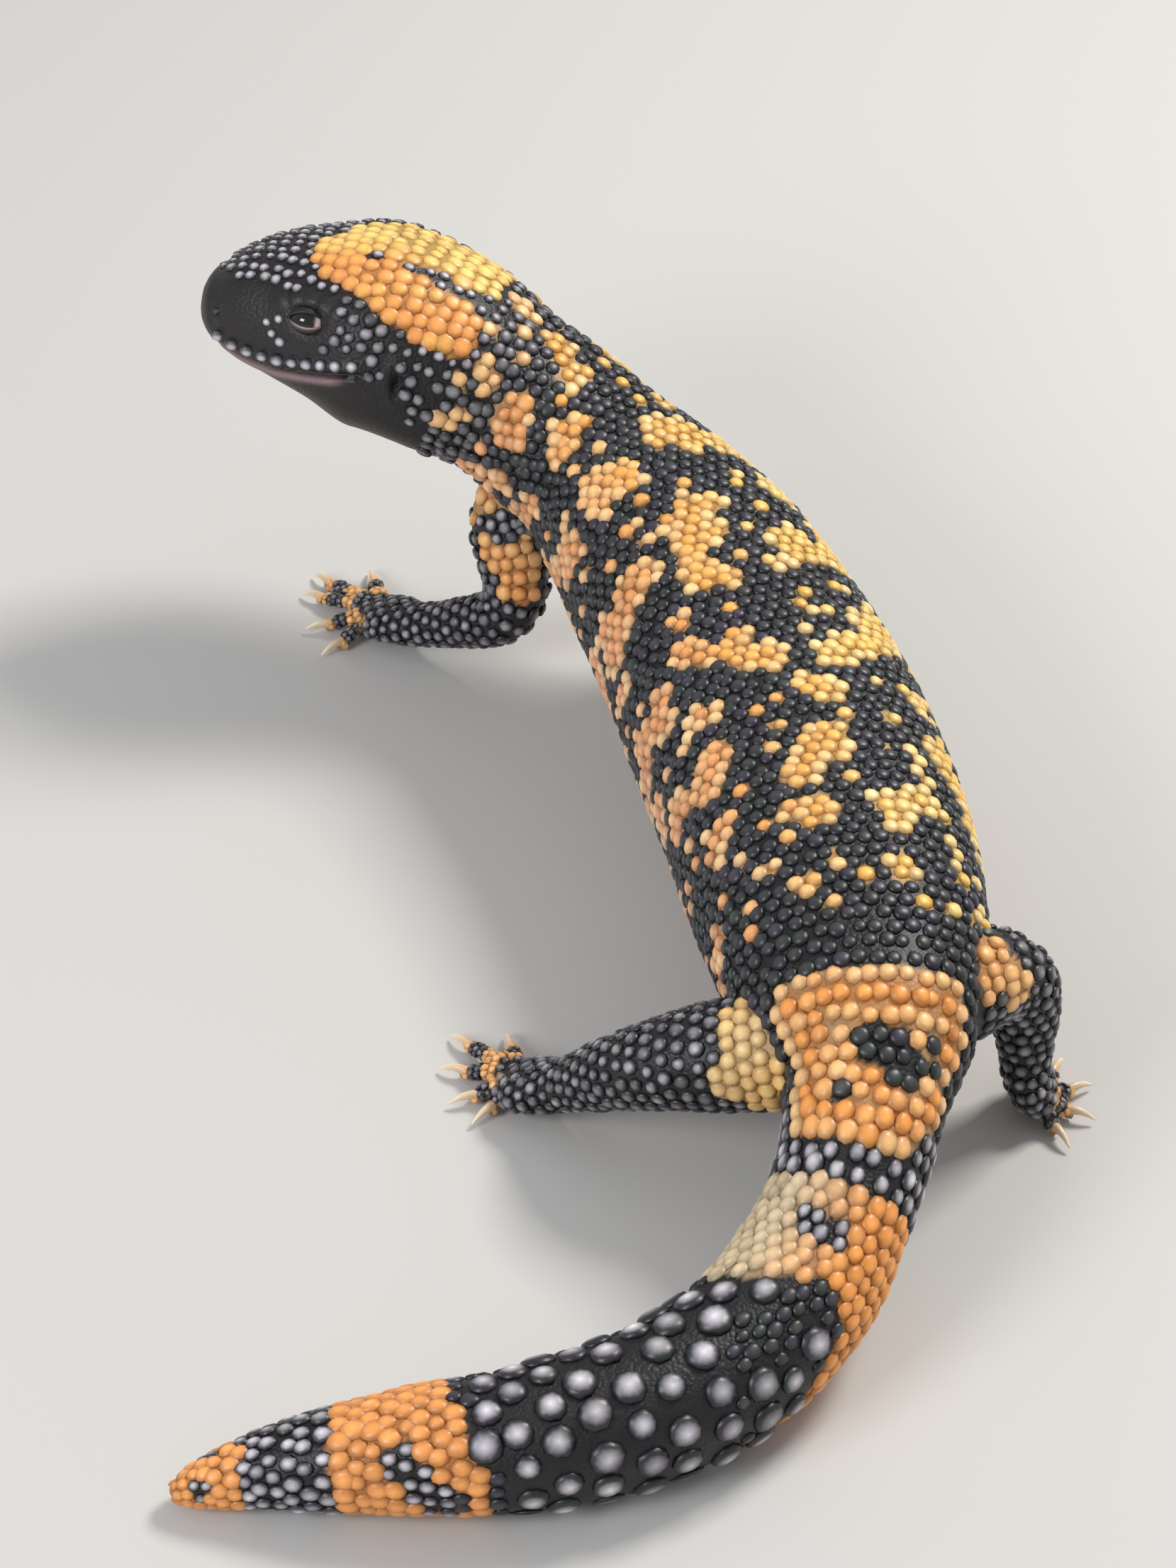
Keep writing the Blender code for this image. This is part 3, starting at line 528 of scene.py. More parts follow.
def tube_coordinates(points, tube):
    """Share along a tube, turn round it and height off its surface, for points."""
    nearest = nearest_rows(points, tube["points"])
    offset = points - tube["points"][nearest]
    across = (offset * tube["side"][nearest]).sum(axis=1)
    over = (offset * tube["top"][nearest]).sum(axis=1)
    scale = np.hypot(across / tube["width"][nearest], over / tube["tall"][nearest])
    beyond = np.abs((offset * tube["along"][nearest]).sum(axis=1))
    height = (1 - 1 / np.maximum(scale, 1e-6)) * np.hypot(across, over)
    return tube["share"][nearest], np.arctan2(across, over), height + beyond


def mouth_up(back):
    """Height of the mouth's line, read from its table with a monotone cubic."""
    return smooth_values(MOUTH_LINE[:, 0], MOUTH_LINE[:, 1], np.clip(np.asarray(back, float), 0, MOUTH_BACK))


MARKING_SEED = 43
SIDE_LOBE_CHANCE = 0.45
SIDE_LOBE_TURN = 1.4
BLOTCH_BEND = 0.45
BLOTCH_GAP = 0.0016
DOT_PLACES = np.arange(0.018, 0.212, 0.0058)
DOT_ARCS = np.arange(-0.085, 0.086, 0.0060)
DOT_CHANCE = 0.72
DOT_GAP = 0.0012
HIP_LOBES = ((-0.0055, 0.0125), (-0.0105, 0.0110), (-0.0160, 0.0105), (-0.0205, 0.0085),
             (-0.0210, 0.0025), (-0.0215, -0.0045), (-0.0195, -0.0110), (-0.0150, -0.0165),
             (-0.0145, -0.0055), (-0.0050, -0.0185))
HIP_MIDDLE = [(-0.0100, -0.0030, 0.0110)]
HIP_ROW = np.arange(-0.0165, 0.0170, 0.0055)
FLANK_LOBES = [(0.2030, 0.0445, 0.0042), (0.1965, 0.0415, 0.0040), (0.1925, 0.0370, 0.0036),
               (0.0205, -0.0330, 0.0042), (0.0235, -0.0390, 0.0042), (0.0250, 0.0360, 0.0044),
               (0.0215, 0.0420, 0.0040)]


def heading_step(heading, reach):
    """A step of the given reach on the skin: along the body and round it."""
    return np.array([math.sin(heading), math.cos(heading)]) * reach


def wander_lobes(random, place, arc, count, size, reach):
    """One blotch: round lobes strung along a path that turns a little at each step, some with a side lobe."""
    heading = random.uniform(-0.6, 0.6) + random.choice((0.0, math.pi / 2), p=(0.72, 0.28))
    here = np.array([place, arc]) - heading_step(heading, reach) * (count - 1) / 2
    found = []
    for _ in range(count):
        found.append((*here, size * random.uniform(0.85, 1.15)))
        if random.random() < SIDE_LOBE_CHANCE:
            turn = heading + random.choice((-1, 1)) * SIDE_LOBE_TURN
            found.append((*(here + heading_step(turn, size * 1.1)), size * 0.8))
        heading += random.normal(0, BLOTCH_BEND)
        here = here + heading_step(heading, reach)
    return found


def apart(found, more, gap):
    """The lobes of a new blotch that keep a gap to every lobe laid before it."""
    laid = np.array(found)
    return [lobe for lobe in more
            if np.min(np.hypot(laid[:, 0] - lobe[0], laid[:, 1] - lobe[1]) - laid[:, 2] - lobe[2]) > gap]


def lobes():
    """Markings of the trunk and neck as round lobes: place, distance round and radius.

    Rows of broad wandering blotches alternate with rows of short bars, and single dots fill the dark between.
    """
    random = np.random.default_rng(MARKING_SEED)
    found = [(0.0000, arc, 0.0046) for arc in HIP_ROW]
    found += [(place, arc, 0.0050) for place, arc in HIP_LOBES] + HIP_MIDDLE + FLANK_LOBES
    for row_place, pitch, phase, size, least, most in BLOTCH_ROWS:
        for number in range(-4, 4):
            arc = (number + phase) * pitch + random.normal(0, 0.0012)
            place = row_place + random.normal(0, 0.0016)
            count = random.integers(least, most + 1)
            found.extend(apart(found, wander_lobes(random, place, arc, count, size, size * 1.05), BLOTCH_GAP))
    for row_place in DOT_PLACES:
        for row_arc in DOT_ARCS:
            place, arc = row_place + random.normal(0, 0.0011), row_arc + random.normal(0, 0.0011)
            dot = (place, arc, random.uniform(0.0017, 0.0021))
            if random.random() < DOT_CHANCE:
                found.extend(apart(found, [dot], DOT_GAP))
    return np.array(found)


# Each row of blotches: place, pitch, phase, lobe radius, fewest and most lobes
BLOTCH_ROWS = ((0.1980, 0.0235, 0.10, 0.0038, 3, 5), (0.1640, 0.0255, 0.42, 0.0044, 5, 6),
               (0.1300, 0.0265, 0.05, 0.0046, 5, 6), (0.0960, 0.0275, 0.45, 0.0046, 5, 6),
               (0.0620, 0.0260, 0.15, 0.0044, 4, 6), (0.1815, 0.0250, 0.55, 0.0038, 2, 3),
               (0.1470, 0.0265, 0.00, 0.0039, 2, 3), (0.1130, 0.0270, 0.50, 0.0039, 2, 3),
               (0.0790, 0.0265, 0.90, 0.0038, 2, 3), (0.0450, 0.0240, 0.35, 0.0037, 2, 3),
               (0.0270, 0.0170, 0.60, 0.0033, 1, 2))
LOBES = lobes()
HIP_SPOTS = ((-0.0080, -0.0010, 0.0040), (-0.0095, -0.0060, 0.0042), (-0.0110, -0.0105, 0.0030),
             (-0.0160, 0.0040, 0.0026))
TAIL_START = -0.0245


def nearness(place, arc, table, wave):
    """How deep each point lies in the nearest lobe: 1 at its middle, 0 on its rim, below 0 outside."""
    deep = np.full(len(place), -9.0)
    for lobe_place, lobe_arc, radius in table:
        gap = np.hypot(place - lobe_place, arc - lobe_arc) + wave
        deep = np.maximum(deep, 1 - gap / radius)
    return deep


def ripple(place, arc, size, seed):
    """A smooth uneven wave from -1 to 1, a sum of four sines in slanting directions."""
    random = np.random.default_rng(seed)
    total = np.zeros(len(place))
    for turn in random.uniform(0, 2 * np.pi, 4):
        total += np.sin((place * math.cos(turn) + arc * math.sin(turn)) / size + random.uniform(0, 6))
    return total / 4


# Each wave of the markings: size and seed
TONE_WAVE = (0.006, 3)
RIM_WAVE = (0.0022, 5)
TAIL_WAVE = (0.0035, 7)
CROWN_WAVE = (0.0030, 11)
LEG_WAVE = (0.0030, 13)
CROWN_TONE_WAVE = (0.0020, 17)
RIM_WANDER = 0.0006
RIM_CREAM = 0.58
HEAD_START = 0.2045
HEAD_START_LOW = 0.2080
JAW_ARC = 0.039


def body_marks(place, arc):
    """Base colour and share of marking, 0 black to 1 coloured, for points on the body from snout to tail."""
    # Gold on the right, orange on the left and salmon down the left flank: partly the markings' own range of
    # colour, partly painted light, lighter on the side that faces the light.
    left = fraction(arc / 0.045 + 0.5)[:, None]
    side = ramp(arc, 0.012, 0.035)[:, None]
    tone = mix(mix(PALETTE["gold"], PALETTE["orange"], left), PALETTE["salmon"], side)
    wander = ripple(place, arc, *TONE_WAVE)[:, None]
    tone = fraction(tone * (1 + 0.10 * wander) + (PALETTE["cream"] - tone) * fraction(wander - 0.2) * 0.4)
    wave = ripple(place, arc, *RIM_WAVE) * RIM_WANDER
    deep = nearness(place, arc, LOBES, wave)
    mark = np.where(place > TAIL_START, fraction(deep * 6 + 0.5), 0.0)
    mark = np.where(nearness(place, arc, HIP_SPOTS, wave) > 0, 0.0, mark)
    tone = mix(tone, PALETTE["orange"], ramp(place, 0.012, -0.008)[:, None])
    tone = mix(tone, PALETTE["cream"], ramp(deep, 0.62, -0.62)[:, None] * RIM_CREAM)
    tail_tone, tail_mark = tail_marks(place, arc)
    on_tail = place < TAIL_START
    tone[on_tail], mark[on_tail] = tail_tone[on_tail], tail_mark[on_tail]
    head_tone, head_mark = head_marks(place, arc)
    on_head = place > np.where(np.abs(arc) > JAW_ARC, HEAD_START_LOW, HEAD_START)
    tone[on_head], mark[on_head] = head_tone[on_head], head_mark[on_head]
    return tone, mark


BASE_BAND_START = -0.0340
BASE_BAND_END = -0.09
BASE_BAND_REAR = ((-0.040, -0.026, -0.017, -0.008, 0.002, 0.020),
                  (0.0750, 0.0630, 0.0540, 0.0510, 0.0600, 0.0650))
MIDDLE_BAND = (-0.1250, -0.1490)
MIDDLE_BAND_SLANT = 0.15
TIP_BAND_START = -0.1670
TAIL_SPOTS = ((-0.0430, -0.0050, 0.0036), (-0.0425, 0.0000, 0.0030), (-0.1360, -0.0100, 0.0040),
              (-0.1330, -0.0160, 0.0040), (-0.1290, -0.0215, 0.0042), (-0.1750, -0.0040, 0.0022),
              (-0.1720, 0.0040, 0.0020), (-0.1285, 0.0170, 0.0030))


def tail_marks(place, arc):
    """Bands of the tail with wavy rims: sand to orange at the base, orange past the middle and at its tip."""
    edge = place + ripple(place, arc, *TAIL_WAVE) * 0.0014
    right = fraction(0.35 - arc / 0.016)[:, None]
    base_tone = mix(PALETTE["sand"], PALETTE["orange"], right)
    rear_tone = mix(PALETTE["orange"], PALETTE["salmon"], 0.15)
    tone = np.where(place[:, None] > BASE_BAND_END, base_tone, rear_tone)
    base = (edge < BASE_BAND_START) & (edge > -np.interp(arc, *BASE_BAND_REAR))
    middle = (edge < MIDDLE_BAND[0] - arc * MIDDLE_BAND_SLANT) & (edge > MIDDLE_BAND[1])
    dark = nearness(place, arc, TAIL_SPOTS, 0.0) > 0
    return tone, np.where((base | middle | (edge < TIP_BAND_START)) & ~dark, 1.0, 0.0)


# The crown's patch: distances back from the snout, and distances round from the middle at each
CROWN_START = 0.0240
CROWN_LEFT = ((0.0240, 0.0269, 0.0348, 0.0420, 0.0475, 0.0588, 0.0635),
              (0.0070, 0.0153, 0.0216, 0.0270, 0.0280, 0.0256, 0.0195))
CROWN_RIGHT = ((0.0240, 0.0295, 0.0351, 0.0430, 0.0600), (0.0070, 0.0002, -0.0060, -0.0110, -0.0140))
CLEFT_MIDDLE = ((0.0455, 0.0532, 0.0606), (0.0122, 0.0102, 0.0092))
CLEFT_REACH = ((0.0440, 0.0532, 0.0606), (0.0008, 0.0024, 0.0044))
CROWN_SPOT = (0.0380, 0.0121, 0.0020)
CHEEK_SPOTS = ((0.2093, 0.0204, 0.0036), (0.2102, -0.0008, 0.0036), (0.2124, 0.0116, 0.0021),
               (0.2085, 0.0048, 0.0021), (0.2060, 0.0117, 0.0021), (0.2133, 0.0277, 0.0021),
               (0.2093, 0.0311, 0.0021), (0.2119, 0.0375, 0.0021), (0.2100, -0.0150, 0.0030),
               (0.2130, -0.0240, 0.0021), (0.2085, -0.0300, 0.0032), (0.2150, -0.0360, 0.0021))


def head_marks(place, arc):
    """The crown's forked patch: a wedge that widens backward and splits at a dark cleft along the middle."""
    back = SNOUT - place
    edge = arc + ripple(place, arc, *CROWN_WAVE) * RIM_WANDER
    rear = np.where(arc > 0.0095, 0.0608 + np.clip(arc - 0.015, 0, 0.004) * 0.5, 0.0600)
    inside = (back > CROWN_START) & (back < rear)
    inside &= (edge < np.interp(back, *CROWN_LEFT)) & (edge > np.interp(back, *CROWN_RIGHT))
    cleft = (back > 0.0440) & (np.abs(arc - np.interp(back, *CLEFT_MIDDLE)) < np.interp(back, *CLEFT_REACH))
    spot = np.hypot(back - CROWN_SPOT[0], arc - CROWN_SPOT[1]) < CROWN_SPOT[2]
    # Yellow on top of the patch, deeper orange lower down its left side: partly the patch's own colour,
    # partly painted light, lighter on top.
    tone = mix(PALETTE["crown_top"], PALETTE["crown_low"], ramp(arc, 0.004, 0.010)[:, None])
    tone = mix(tone, PALETTE["gold"], fraction(ripple(place, arc, *CROWN_TONE_WAVE))[:, None] * 0.6)
    mark = np.where(inside & ~cleft & ~spot, 1.0, 0.0)
    on_cheek = nearness(place, arc, CHEEK_SPOTS, 0.0) > 0
    tone = np.where(on_cheek[:, None] & ~inside[:, None], mix(PALETTE["cream"], PALETTE["orange"], 0.5), tone)
    return tone, np.maximum(mark, on_cheek * 1.0)


# Each patch of a leg: share of its length, turn round it and reach
LEG_SPOTS = {
    "fore_left": ((0.205, 1.2, 0.22), (0.235, 0.7, 0.22), (0.335, 1.3, 0.20), (0.335, 2.2, 0.20),
                  (0.385, 1.5, 0.20), (0.375, 2.5, 0.20), (0.425, 2.1, 0.22), (0.435, 1.4, 0.16),
                  (0.24, -1.4, 0.34), (0.40, -1.8, 0.32)),
    "fore_right": ((0.24, 1.5, 0.34), (0.40, 1.3, 0.36), (0.42, 0.0, 0.30), (0.38, -1.6, 0.34)),
    "hind_left": ((0.17, 2.1, 0.30), (0.19, 1.2, 0.34), (0.23, 0.5, 0.30), (0.25, 1.7, 0.30),
                  (0.30, -1.2, 0.36)),
    "hind_right": ((0.30, -0.2, 0.28), (0.34, 0.3, 0.26), (0.38, -0.4, 0.24), (0.42, -0.8, 0.22),
                   (0.30, 1.6, 0.34)),
}
LEG_PATCH_SCALE = 0.016


def leg_marks(name, share, turn, radius, length):
    """Base colour and share of marking of a leg, which has patches on its upper arm or thigh.

    A patch holds the beads nearer to its middle than its reach times the patch scale.
    """
    yellow = name == "hind_left"
    base = mix(PALETTE["orange"], PALETTE["gold"], 0.5) if yellow else PALETTE["orange"]
    light = ripple(share * length, turn * radius, *LEG_WAVE)[:, None] * 0.30 + (0.46 if yellow else 0.30)
    mark = np.zeros(len(share))
    for spot_share, spot_turn, reach in LEG_SPOTS[name]:
        away = np.abs(np.angle(np.exp(1j * (turn - spot_turn))))
        gap = np.hypot((share - spot_share) * length, away * radius)
        mark = np.maximum(mark, np.where(gap < reach * LEG_PATCH_SCALE, 1.0, 0.0))
    return mix(base, PALETTE["cream"], light), mark


def toe_marks(share):
    """Bands across a toe, orange and black by turns between the palm and the claw."""
    tone = np.tile(mix(PALETTE["orange"], PALETTE["cream"], 0.3), (len(share), 1))
    band = np.sin(share * math.pi * 4.6 + 0.6) > 0.15
    return tone, np.where(band & (share > 0.25), 1.0, 0.0)


def make_tubes():
    """All limb tubes by name, and the toes of each foot."""
    tubes = {}
    for name, leg in LEGS.items():
        tubes[name] = leg_tube(leg)
        for number, tip in enumerate(leg["tips"], 1):
            tubes[f"{name}_toe_{number}"] = toe_tube(leg["palm"], tip)
    return tubes


TUBES = make_tubes()


BODY_STEP = 0.0012
SNOUT_CAP = 0.004
BODY_AROUND = 120
LEG_AROUND = 28
TOE_AROUND = 16
HIDE_LOWEST = 0.0002


def flesh_grids(inset):
    """Closed grids of the body, legs and toes, a depth inside the solids, which the hide is fused from."""
    places = np.concatenate([np.arange(TAIL_TIP + inset, SNOUT - SNOUT_CAP, BODY_STEP),
                             np.linspace(SNOUT - SNOUT_CAP, SNOUT - inset, 10)])
    points, normals, _ = body_rings(places, [np.arange(BODY_AROUND) / BODY_AROUND] * len(places))
    grids = [np.array(points) - np.array(normals) * inset]
    for name, tube in TUBES.items():
        grids.append(tube_rings(tube, TOE_AROUND if "toe" in name else LEG_AROUND, inset))
    for grid in grids:
        grid[..., 2] = np.maximum(grid[..., 2], HIDE_LOWEST)
    return grids


def crease(distance, width):
    """A soft valley across a line: 1 on it, falling off as a Gaussian."""
    return np.exp(-((distance / width) ** 2))


# Each form of the head: height, below 0 for a valley, and width
GROOVE = (-0.0011, 0.00062)
LIP_SWELL = (0.0006, 0.0012)
BROW = (0.0010, 0.0026)
SOCKET = (-0.0017, 0.0023)
SOCKET_RIM = (0.0003, 0.0018)
NOSTRIL = (-0.0013, 0.0009)
NOSTRIL_RIM = (0.0004, 0.0007)
EAR_SLIT = (-0.0018, 1.0)
EAR_RIM = (0.0005, 0.35)
THROAT_FOLD = (-0.0010, 0.0011)
# Their places on the head
LIP_OFF = 0.0016
BROW_BACKS = np.array([-0.007, -0.0035, 0.0, 0.0035, 0.007])
BROW_UPS = np.array([0.0024, 0.0036, 0.0042, 0.0040, 0.0034])
SOCKET_RIM_OFF = 0.0046
NOSTRIL_RIM_OFF = 0.0016
EAR_SLANT = 0.25
EAR_DEPTH = 0.006
EAR_OVALS = ((0.0009, 0.0026, 0), (0.0026, 0.0046, 1))
THROAT_FOLDS = ((0.2120, 0.25), (0.2065, 0.1), (0.2005, -0.1))
HEAD_SCULPT_START = 0.19
SCULPT_REACH = 0.004


def form(distance, height, width):
    """A soft ridge or, below 0, valley of the given height where the distance is 0."""
    return height * crease(distance, width)


def ear_distances(points, side):
    """Distances from an ear's slit and from the rim round it, in their own slanted ovals."""
    offset = points - head_point(EAR_BACK, EAR_UP, side)[0][0]
    _, ahead, left, up = spine_frame(SNOUT - EAR_BACK)
    tall = offset @ up[0]
    along = offset @ ahead[0] - tall * EAR_SLANT
    outside = offset @ left[0] * side > -EAR_DEPTH
    return [np.where(outside, np.hypot(along / long, tall / high) - start, np.inf)
            for long, high, start in EAR_OVALS]


def sculpt_head(points, normals):
    """Move the hide's points on the head: mouth groove, lips, brow, nostrils, ear slits and throat folds."""
    place, _, height, _, upward = body_coordinates(points)
    back = SNOUT - place
    on_head = (place > HEAD_SCULPT_START) & (np.abs(height) < SCULPT_REACH)
    level = upward - mouth_up(np.clip(back, 0, MOUTH_BACK))
    past = ramp(back, MOUTH_BACK, 0.004)
    move = form(level, *GROOVE) * (1 - past) * on_head
    move += form(np.abs(level) - LIP_OFF, *LIP_SWELL) * (1 - past) * on_head
    for side in (1, -1):
        ridge = head_point(EYE_BACK + BROW_BACKS, EYE_UP + BROW_UPS, side)[0]
        brow = np.min([np.linalg.norm(points - spot, axis=1) for spot in ridge], axis=0)
        gap = eye_gap(points, side)
        move += form(brow, *BROW) + form(gap - SOCKET_RIM_OFF, *SOCKET_RIM)
        move += form(gap, *SOCKET)
        nostril = np.linalg.norm(points - head_point(NOSTRIL_BACK, NOSTRIL_UP, side)[0][0], axis=1)
        move += form(nostril - NOSTRIL_RIM_OFF, *NOSTRIL_RIM) + form(nostril, *NOSTRIL)
        for distance, ear_form in zip(ear_distances(points, side), (EAR_SLIT, EAR_RIM)):
            move += form(distance, *ear_form)
    throat = ramp(upward, -0.004, -0.008) * on_head
    for fold, slant in THROAT_FOLDS:
        move += form(place - fold - slant * upward * 0.4, *THROAT_FOLD) * throat
    return points + normals * (move * on_head * away_from_tips(points))[:, None]


def eye_gap(points, side):
    """Distance from the middle of the eye's opening, measured in the almond's shape."""
    normal, along, over, centre = eye_frame(side)
    offset = points - centre - normal * EYE_SINK
    parts = (offset @ normal, offset @ along / EYE_LONG, offset @ over / EYE_TALL)
    return np.sqrt(parts[0] ** 2 + parts[1] ** 2 + parts[2] ** 2)


NECK_PLACE = 0.197
NECK_REACH = 0.012
NECK_FOLD = 0.00035


def wrinkle(points, normals):
    """Soft skin folds on the neck's sides and underside: slanting waves about four millimetres apart."""
    place, arc, height, _, upward = body_coordinates(points)
    near = (np.abs(height) < SCULPT_REACH).astype(float)
    flank = ramp(upward, 0.004, -0.012) * near
    neck = np.exp(-(((place - NECK_PLACE) / NECK_REACH) ** 2))
    wave = np.sin(place * 1500 + 2.0 * np.sin(arc * 260))
    return points + normals * (NECK_FOLD * wave * neck * flank)[:, None]


HIDE_DEPTH = 0.0004
HIDE_VOXEL = 0.00119
TIP_SWELL = 0.0007
TIP_KEEP = 0.0028
TIP_REACH = 0.003
BLEND_START = 0.0018
BLEND_REACH = 0.0025
SETTLE_REACH = 0.0016
SETTLE_SHARE = 0.9


def part_heights(points):
    """Height of each point off the body and off each limb tube, one row a part, 1 m where it is far away."""
    names = ["body"]
    rows = [body_coordinates(points)[2]]
    for name, tube in TUBES.items():
        reach = tube["width"].max() + 0.006
        low, high = tube["points"].min(axis=0) - reach, tube["points"].max(axis=0) + reach
        near = np.nonzero(((points > low) & (points < high)).all(axis=1))[0]
        row = np.full(len(points), 1.0)
        if len(near):
            row[near] = tube_coordinates(points[near], tube)[2]
        names.append(name)
        rows.append(row)
    return names, np.array(rows)


def settle(points, normals, inset):
    """Draw the fused hide's points onto the formula of the part they lie on, and leave the blends."""
    heights = part_heights(points)[1] + inset
    order = np.sort(np.abs(heights), axis=0)
    owner = np.abs(heights).argmin(axis=0)
    own = heights[owner, np.arange(len(points))]
    alone = ramp(order[1], BLEND_START, BLEND_REACH) * (np.abs(own) < SETTLE_REACH)
    alone = alone * away_from_tips(points)
    return points - normals * (own * alone * SETTLE_SHARE)[:, None]


def away_from_tips(points):
    """1 along the body, falling to 0 over the last millimetres of the snout and the tail."""
    place = body_coordinates(points)[0]
    return fraction(np.minimum(SNOUT - TIP_KEEP - place, place - TAIL_TIP - TIP_KEEP) / TIP_REACH)


def refine(mesh, chosen):
    """Halve the edges of the faces whose points are all chosen."""
    shape = bmesh.new()
    shape.from_mesh(mesh)
    faces = [face for face in shape.faces if all(chosen[corner.index] for corner in face.verts)]
    edges = list({edge for face in faces for edge in face.edges})
    bmesh.ops.subdivide_edges(shape, edges=edges, cuts=1, use_grid_fill=True)
    shape.to_mesh(mesh)
    shape.free()
    mesh.update()


# Shares of the marking's tone and of brown in the hide below the beads of the body and of the legs: painted
# shade between the beads
BODY_UNDER = (0.42, 0.12)
LEG_UNDER = (0.45, 0.1)
FACE_BLEND = (0.225, 0.01)
BELLY_BLEND = (-0.010, -0.006)
SOLE_BLEND = (0.0012, -0.0010)
LIP_LINE = 0.0010
LIP_STRENGTH = 0.8
BELLY_STRENGTH = 0.5
HEAD_MIN = 0.2


def painted_shade(tone, shares):
    """A marking taken darker as painted shade, between the beads and at their feet: a share of its tone and a
    share of brown.
    """
    return tone * shares[0] + PALETTE["brown"] * shares[1]


def hide_colours(points):
    """Colour of the hide under the beads, darker than the beads as painted shade between them: near black or
    a darker copy of its marking, with lips and soles.
    """
    names, heights = part_heights(points)
    owner = np.abs(heights).argmin(axis=0)
    place, arc, _, _, upward = body_coordinates(points)
    tone, mark = body_marks(place, arc)
    # The body's hide is a darker black than its beads: painted shade between them.
    colour = mix(PALETTE["black"] * 0.45, PALETTE["face"], ramp(place, *FACE_BLEND)[:, None])
    colour = mix(colour, PALETTE["belly"], ramp(upward, *BELLY_BLEND)[:, None] * BELLY_STRENGTH)
    colour = mix(colour, painted_shade(tone, BODY_UNDER), mark[:, None])
    for number, name in enumerate(names[1:], 1):
        mine = np.nonzero(owner == number)[0]
        if not len(mine):
            continue
        tube = TUBES[name]
        share, turn, _ = tube_coordinates(points[mine], tube)
        if "toe" in name:
            tone, mark = toe_marks(share)
        else:
            tone, mark = leg_marks(name, share, turn, tube["width"].mean(), tube["length"])
        # A leg's hide: black, and its markings taken darker as painted shade between the beads.
        colour[mine] = mix(PALETTE["black"], painted_shade(tone, LEG_UNDER), mark[:, None])
    back = SNOUT - place
    lip = crease(upward - mouth_up(back) + LIP_OFF, LIP_LINE) * ramp(back, MOUTH_BACK - 0.002, -0.004)
    lip = (lip * (owner == 0) * (place > HEAD_MIN))[:, None] * LIP_STRENGTH
    sole = ramp(points[:, 2], *SOLE_BLEND)[:, None] * (owner > 0)[:, None]
    return mix(mix(colour, PALETTE["lip"], lip), PALETTE["sole"], sole)


FACE_START = 0.2360
MOUTH_REACH = 0.0026
SOFTEN_SHARE = 0.5
SOFTEN_TURNS = 5


def make_hide():
    """One closed hide fused from body, legs and toes, drawn onto their formulas and sculpted at the head."""
    points, faces = [], []
    count = 0
    for grid in flesh_grids(HIDE_DEPTH):
        more, quads = closed_grid(grid)
        points.append(more)
        faces.extend([tuple(corner + count for corner in face) for face in quads])
        count += len(more)
    rough = new_object("rough", np.concatenate(points), faces)
    fuse = rough.modifiers.new("fuse", "REMESH")
    fuse.mode = "VOXEL"
    fuse.voxel_size = HIDE_VOXEL
    soften = rough.modifiers.new("soften", "SMOOTH")
    soften.factor = SOFTEN_SHARE
    soften.iterations = SOFTEN_TURNS
    mesh = evaluated_mesh(rough)
    bpy.data.objects.remove(rough, do_unlink=True)
    for _ in range(2):
        write_points(mesh, settle(read_points(mesh), vertex_normals(mesh), HIDE_DEPTH))
    tips = read_points(mesh)
    swell = TIP_SWELL * (1 - away_from_tips(tips)) * (body_coordinates(tips)[0] > 0)
    write_points(mesh, tips + vertex_normals(mesh) * swell[:, None])
    place = body_coordinates(read_points(mesh))[0]
    refine(mesh, place > FACE_START)
    write_points(mesh, settle(read_points(mesh), vertex_normals(mesh), HIDE_DEPTH))
    place, _, _, _, upward = body_coordinates(read_points(mesh))
    back = SNOUT - place
    refine(mesh, (np.abs(upward - mouth_up(back)) < MOUTH_REACH) & (back < MOUTH_BACK + 0.003))
    settled = sculpt_head(read_points(mesh), vertex_normals(mesh))
    settled = wrinkle(settled, vertex_normals(mesh))
    settled[:, 2] = np.maximum(settled[:, 2], HIDE_LOWEST)
    write_points(mesh, settled)
    paint(mesh, hide_colours(settled))
    mesh.name = "hide"
    mesh.shade_smooth()
    return linked("hide", mesh)


BEAD_SIDES = 10
# Each ring of a bead: width, height and how much of the crown's colour it has; the crown is lighter than the
# rim, a painted highlight on top and painted shade at the foot
BEAD_RINGS = ((1.0, -0.35, 0.0), (0.97, 0.22, 0.0), (0.78, 0.68, 0.10), (0.44, 0.94, 0.62))


def bead_template():
    """Unit bead: rings of points at falling widths and rising heights, a top point, and their faces."""
    turn = np.arange(BEAD_SIDES) / BEAD_SIDES * 2 * np.pi
    points = [np.stack([np.cos(turn) * wide, np.sin(turn) * wide, np.full(BEAD_SIDES, tall)], -1)
              for wide, tall, _ in BEAD_RINGS]
    points.append(np.array([[0.0, 0.0, 1.0]]))
    shade = np.concatenate([np.full(BEAD_SIDES, tone) for _, _, tone in BEAD_RINGS] + [np.ones(1)])
    faces = []
    for ring in range(len(BEAD_RINGS) - 1):
        for here in range(BEAD_SIDES):
            after = (here + 1) % BEAD_SIDES
            low, high = ring * BEAD_SIDES, (ring + 1) * BEAD_SIDES
            faces.append((low + here, low + after, high + after, high + here))
    last = (len(BEAD_RINGS) - 1) * BEAD_SIDES
    fan = [(last + here, last + (here + 1) % BEAD_SIDES, last + BEAD_SIDES) for here in range(BEAD_SIDES)]
    base = [tuple(range(BEAD_SIDES - 1, -1, -1))]
    return np.concatenate(points), shade, faces, fan, base


BEAD_WOBBLE = 0.05
LOWEST = 0.0001
PATCH_HALF = 0.0015


